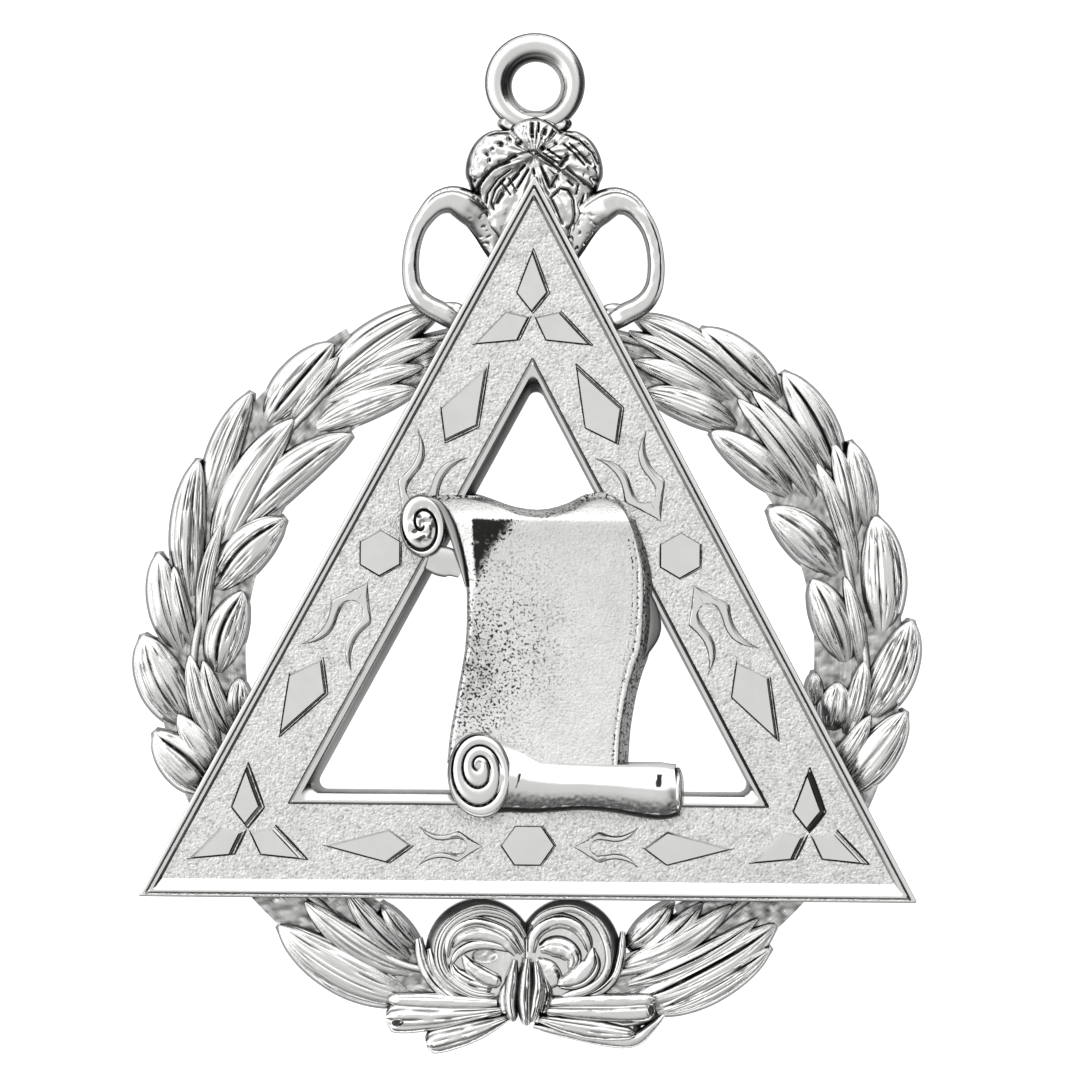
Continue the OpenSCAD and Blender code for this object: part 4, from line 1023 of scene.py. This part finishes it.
crestLook = {
    # its outline and height by the angle in degrees, right half, and its height from the middle to the edge
    "middle": (0, 30.947), "radius": 5.5, "height": 3.1,
    "outline": [(-90, 1.1), (-79, 1.18), (-68, 1.3), (-60, 1.24), (-53, 1.2), (-46, 1.14), (-33, 1.04),
                (-21, 1), (-16, 1.01), (-7, 0.98), (3, 0.93), (16, 0.85), (30, 0.73), (40, 0.6), (47, 0.55),
                (56, 0.57), (74, 0.58), (90, 0.58)],
    "heights": [(-90, 0.72), (-66, 0.72), (-50, 0.75), (-34, 0.8), (-24, 0.92), (30, 0.98), (44, 0.9), (52, 1),
                (90, 1.06)],
    "shape": [(0, 0.92), (0.3, 0.98), (0.6, 1), (0.82, 0.96), (0.94, 0.86), (1, 0.68)],
    # the edge of the lobes over the petals, from left to right
    "brow": [(-5.6, 27.9), (-4.4, 28.6), (-3.9, 29.4), (-3.3, 29.95), (-2.5, 30.35), (-1.54, 31), (-0.4, 31.35),
             (0.1, 31.4), (0.45, 31.05), (1.25, 30.5), (2.05, 29.9), (2.6, 30), (3.25, 29.5), (3.95, 28.9),
             (4.85, 28.3), (5.6, 27.9)],
    # engraved strokes: half width and points
    "strokes": [
        (0.15, [(-1.5, 31), (-2.5, 30.35), (-3.3, 29.95), (-3.9, 29.4), (-4.4, 28.6), (-4.5, 27.9)]),
        (0.15, [(0.45, 31.05), (1.25, 30.5), (2.05, 29.87)]), (0.2, [(2.65, 31), (2.1, 30.2)]),
        (0.1, [(2.6, 30.05), (3.25, 29.5), (3.95, 28.9), (4.85, 28.3)]),
        (0.1, [(-1.85, 33.1), (-1.5, 33.65), (-0.9, 33.95), (-0.1, 33.95), (0.55, 33.95), (1.25, 33.55),
               (2.1, 32.9)]),
        (0.1, [(-3.6, 32.6), (-2.9, 32.8), (-2.1, 32.8)]), (0.1, [(-2.9, 33.1), (-2.4, 33.3)]),
        (0.24, [(-2.65, 31.95), (-2.6, 31.9)]), (0.2, [(-1.2, 31.95), (-1.15, 31.95)]),
        (0.12, [(-2, 32.4), (-1.95, 32.3)]),
        (0.12, [(-0.2, 32.55), (-0.2, 32.5)]), (0.17, [(0.6, 31.65), (0.65, 31.6)]),
        (0.2, [(1.65, 32), (1.7, 31.95)]),
        (0.2, [(0.85, 33.05), (0.75, 32.75)]), (0.17, [(-1.75, 33.1), (-1.75, 33)]),
        (0.12, [(-3.3, 31.55), (-3.3, 31.5)]),
        (0.12, [(-3.75, 31.1), (-3.7, 31)]), (0.13, [(-3.55, 30.65), (-3.55, 30.55)]),
        (0.16, [(-4.7, 29), (-4.75, 28.95)]),
        (0.2, [(-5.2, 31), (-5.2, 30.2)]), (0.12, [(-0.2, 33.55), (-0.2, 32.8)]), (0.07, [(0.33, 33.6), (0.3, 32.9)]),
        (0.07, [(0.7, 31.2), (1.9, 30.45)]), (0.07, [(1, 31.55), (2.2, 30.75)]),
        (0.08, [(2.4, 31.9), (3.2, 31.2), (4, 30.3)]),
        (0.06, [(2.8, 32), (3.5, 31.4), (4.2, 30.5)]), (0.13, [(3.65, 31.2), (4.5, 30.4)]),
        (0.14, [(4.7, 29.2), (5.1, 28.9)]),
        (0.09, [(2.45, 32.75), (3.6, 32.25), (4.6, 31.3), (5.05, 30.4)]), (0.11, [(-0.75, 30.3), (-1.7, 29.15)]),
        (0.07, [(-0.45, 29.95), (-1.35, 28.45)]), (0.09, [(-0.05, 29.95), (0, 29.6)]),
        (0.1, [(0.55, 30.2), (0.9, 29.3), (1.25, 28.5)]), (0.15, [(1.8, 29.4), (1.35, 28.6)]),
        (0.08, [(-1.9, 29.9), (-2.9, 29.15), (-3.7, 28), (-3.85, 26.8), (-3.5, 26.3)]),
        (0.07, [(-2.35, 29.2), (-3.1, 28.3), (-3.4, 27.3), (-3.15, 26.7)]), (0.2, [(-2.5, 28), (-2.9, 27.3)]),
        (0.08, [(-2.6, 28.9), (-1.85, 27.9)]), (0.06, [(-2, 29.2), (-1.4, 28.2)]),
        (0.06, [(-1.2, 29.6), (-2.1, 28.6)]),
        (0.09, [(1.35, 27.7), (2.1, 28.45), (2.7, 28.35), (3.15, 27.55), (3.25, 26.4), (2.95, 24.8)]),
        (0.07, [(1.4, 27.6), (1.7, 27), (2.3, 25.6)]), (0.1, [(3.95, 27.95), (3.7, 27.1), (3.95, 26.4), (3.4, 25.5)]),
        (0.08, [(2.7, 29.05), (3.1, 28.7)]), (0.07, [(3.5, 28.7), (3.35, 28)])],
    # the middle of a side loop's wire, and half its width
    "loop": [(2.3, 22.4, 0.8), (2.9, 24, 1.2), (3.6, 25.3, 1.3), (4.4, 26.3, 1.3), (5.2, 26.9, 1.3), (6, 27.35, 1.2),
             (6.7, 27.5, 1.08), (7.65, 27.2, 0.92), (8.5, 26.35, 0.75), (9.3, 25, 0.66), (9.75, 23, 0.66),
             (9.68, 21, 0.7), (9.2, 19.85, 0.76), (8.4, 19.1, 0.82),
             (7.45, 18.6, 0.85), (6.7, 18.2, 0.85), (5.7, 17.7, 0.8)],
    # the height of the wire along it
    "loopTop": [(0, 2.3), (0.12, 2.6), (0.18, 2.9), (0.24, 3.45), (0.3, 3.85), (0.6, 3.85), (0.92, 3.75), (1, 3.3)],
    # the web where a loop meets the triangle: middle, half sizes, height, lip, how much painted shade it has,
    # corners, foot
    "web": ((6.5, 18.8), (1.05, 0.55), 3.3, 0.3, (0.1, 0.8), 32, 2.3),
    # a line inside the outer edge, with cells of bead work up to this share of the wire
    "beads": 0.46, "beadCount": 48,
}


def foldedAngle(angle):
    a = degrees(angle)
    a = a + 360 if a < -90 else a
    return a if a <= 90 else 180 - a


def toStroke(x, y, points):
    # distance from a stroke drawn through points
    near = 9
    for (x0, y0), (x1, y1) in zip(points, points[1:]):
        dx, dy = x1 - x0, y1 - y0
        t = min(max(((x - x0) * dx + (y - y0) * dy) / (dx * dx + dy * dy), 0), 1)
        near = min(near, hypot(x - x0 - t * dx, y - y0 - t * dy))
    return near


def crestSurface(angle, share):
    fold = foldedAngle(angle)
    reach = crestLook["radius"] * flow(crestLook["outline"], fold)
    x, y = ovalPoint(crestLook["middle"], (reach, reach), angle, share)
    high = crestLook["height"] * flow(crestLook["heights"], fold) * flow(crestLook["shape"], share)
    lobe = step(-0.12, 0.12, y - flow(crestLook["brow"], x))
    flute = 0.5 - 0.5 * sin(angle * 26 + 2.5 * rough(x, y, 2, 0.8))
    cut = 0.09 * flute * step(0.12, 0.35, share)
    stroke = max(bell(toStroke(x, y, points), w * 1.1) for w, points in crestLook["strokes"])
    dots = 0.35 * lobe * step(0.3, 0.5, rough(x, y, 11, 2.6))
    z = plan["hangerBack"] + high - cut - 0.22 * stroke - 0.2 * dots - 0.3 * (1 - lobe)
    z += 0.08 * rough(x, y, 5, 1.6)
    beyond = outsideTriangle(x, y)
    z = min(z, 3.45 + 1.5 * max(beyond, 0)) if y < plan["apexY"] else z
    # painted shade in the flutes, the dots, the strokes and at the rim
    return (x, y, z), max(cut * 4.5, dots, step(0.35, 0.85, stroke), step(0.94, 0.975, share))


bm = startMesh()
polarRelief(bm, 420, sharesOut(0.02, 76), crestSurface, pushOut(0.12), plan["hangerBack"])
finishPiece(bm, "flutedCrest", "hanger", crestSilver, sharp=50)

bm = startMesh()
for side in (-1, 1):
    points = [(side * x, y) for x, y, w in crestLook["loop"]]
    shares = [k for k, p in routeRows(points)]
    half = [(k, w) for k, (x, y, w) in zip(shares, crestLook["loop"])]

    def wireSection(s, e, wide):
        # a round wire with a line and cells near its outer edge, and punched dots on its lower end; painted shade at
        # its edges, in the line, the cells and the dots
        out = e * side
        line = 0.05 * bell(out - 0.76, 0.05) * step(0.4, 0.5, s)
        beaded = step(0.2, 0.24, s) * step(crestLook["beads"], crestLook["beads"] - 0.05, s)
        cell = bell(sin(pi * crestLook["beadCount"] * s), 0.4) * step(0.6, 0.66, out)
        line += 0.1 * max(bell(out - 0.58, 0.06), 0.6 * cell) * beaded
        dots = step(0.26, 0.2, s) * step(0.25, 0.45, rough(s * 60, e * 3, side * 5, 1))
        lump = 0.035 * rough(s * 26, e * 1.6, side * 3, 1)
        shadeAndSpeckTone = max(step(0.78, 0.94, abs(e)), line * 9, 0.8 * dots)
        return domeDrop(e, 0.85, 3.4, 0.6) + line + lump + 0.1 * dots, shadeAndSpeckTone

    strip(bm, points, half, crestLook["loopTop"], wireSection, 2.2, 200, 36, 0.03, 0.6)
    (x, y), *rest = crestLook["web"]
    addPad(bm, (side * x, y), *rest)
finishPiece(bm, "sideLoops", "hanger", polishedSilver, sharp=55)


# Floor, light and camera
stageLook = {
    "floorSize": 6,
    "floor": {"Base Color": (0.75, 0.75, 0.75, 1), "Roughness": 0.9, "Specular IOR Level": 0.1,
              "Emission Color": (1, 1, 1, 1), "Emission Strength": 1},
    # the camera: its height, that of the plane that fills the frame, the width there, sensor, roll and place
    "cameraHeight": 0.7, "planeHeight": 0.0035, "frameWidth": 0.08588, "sensor": 36, "roll": 0.5,
    "aim": (0.00072, 0.00047),
    # light by the height in the sky, on the bright side at the upper left and the dim one at the lower right
    "bright": [(0, 0.04), (0.14, 0.2), (0.3, 0.72), (0.9, 0.8), (0.97, 0.45), (1, 0.36)],
    "dim": [(0, 0.02), (0.3, 0.07), (0.6, 0.22), (0.86, 0.34), (1, 0.36)],
    # how much a dark card at the right takes away, and the strength of it all
    "card": 0.93, "light": 1.9,
}

mesh = bpy.data.meshes.new("floor")
bm = bmesh.new()
bmesh.ops.create_grid(bm, x_segments=2, y_segments=2, size=stageLook["floorSize"] / 2)
bm.to_mesh(mesh)
bm.free()
floor = bpy.data.objects.new("floor", mesh)
bpy.context.scene.collection.objects.link(floor)
paper = bpy.data.materials.new("paper")
paper.use_nodes = True
for entry, value in stageLook["floor"].items():
    paper.node_tree.nodes["Principled BSDF"].inputs[entry].default_value = value
mesh.materials.append(paper)

sky = bpy.data.worlds.new("soft studio")
bpy.context.scene.world = sky
sky.use_nodes = True
start = Wire(sky.node_tree, None)
ray = start.node("ShaderNodeTexCoord", {}, {}, "Generated")
east, north, height = (ray.axis(which) for which in "XYZ")
bright, dim = (start.node("ShaderNodeValToRGB", {"stops": stageLook[key]}, {"Fac": height}, "Color")
               for key in ("bright", "dim"))
facing = (0.8 * north - 0.6 * east).between(-0.3, 0.3)
card = east.between(0.5, 0.7) * (1 - north.math("ABSOLUTE", north).between(0.35, 0.6))
light = (dim * (1 - facing) + bright * facing) * (1 - stageLook["card"] * card) * stageLook["light"]
sky.node_tree.links.new(light.socket, sky.node_tree.nodes["Background"].inputs["Color"])

camera = bpy.data.cameras.new("camera")
camera.sensor_width = stageLook["sensor"]
camera.lens = stageLook["sensor"] * (stageLook["cameraHeight"] - stageLook["planeHeight"]) / stageLook["frameWidth"]
camera.clip_start = 0.01
camera.clip_end = 20
view = bpy.data.objects.new("camera", camera)
view.location = (*stageLook["aim"], stageLook["cameraHeight"])
view.rotation_euler = (0, 0, radians(stageLook["roll"]))
bpy.context.scene.collection.objects.link(view)
bpy.context.scene.camera = view
bpy.context.scene.view_settings.view_transform = "Standard"
print("stage set")
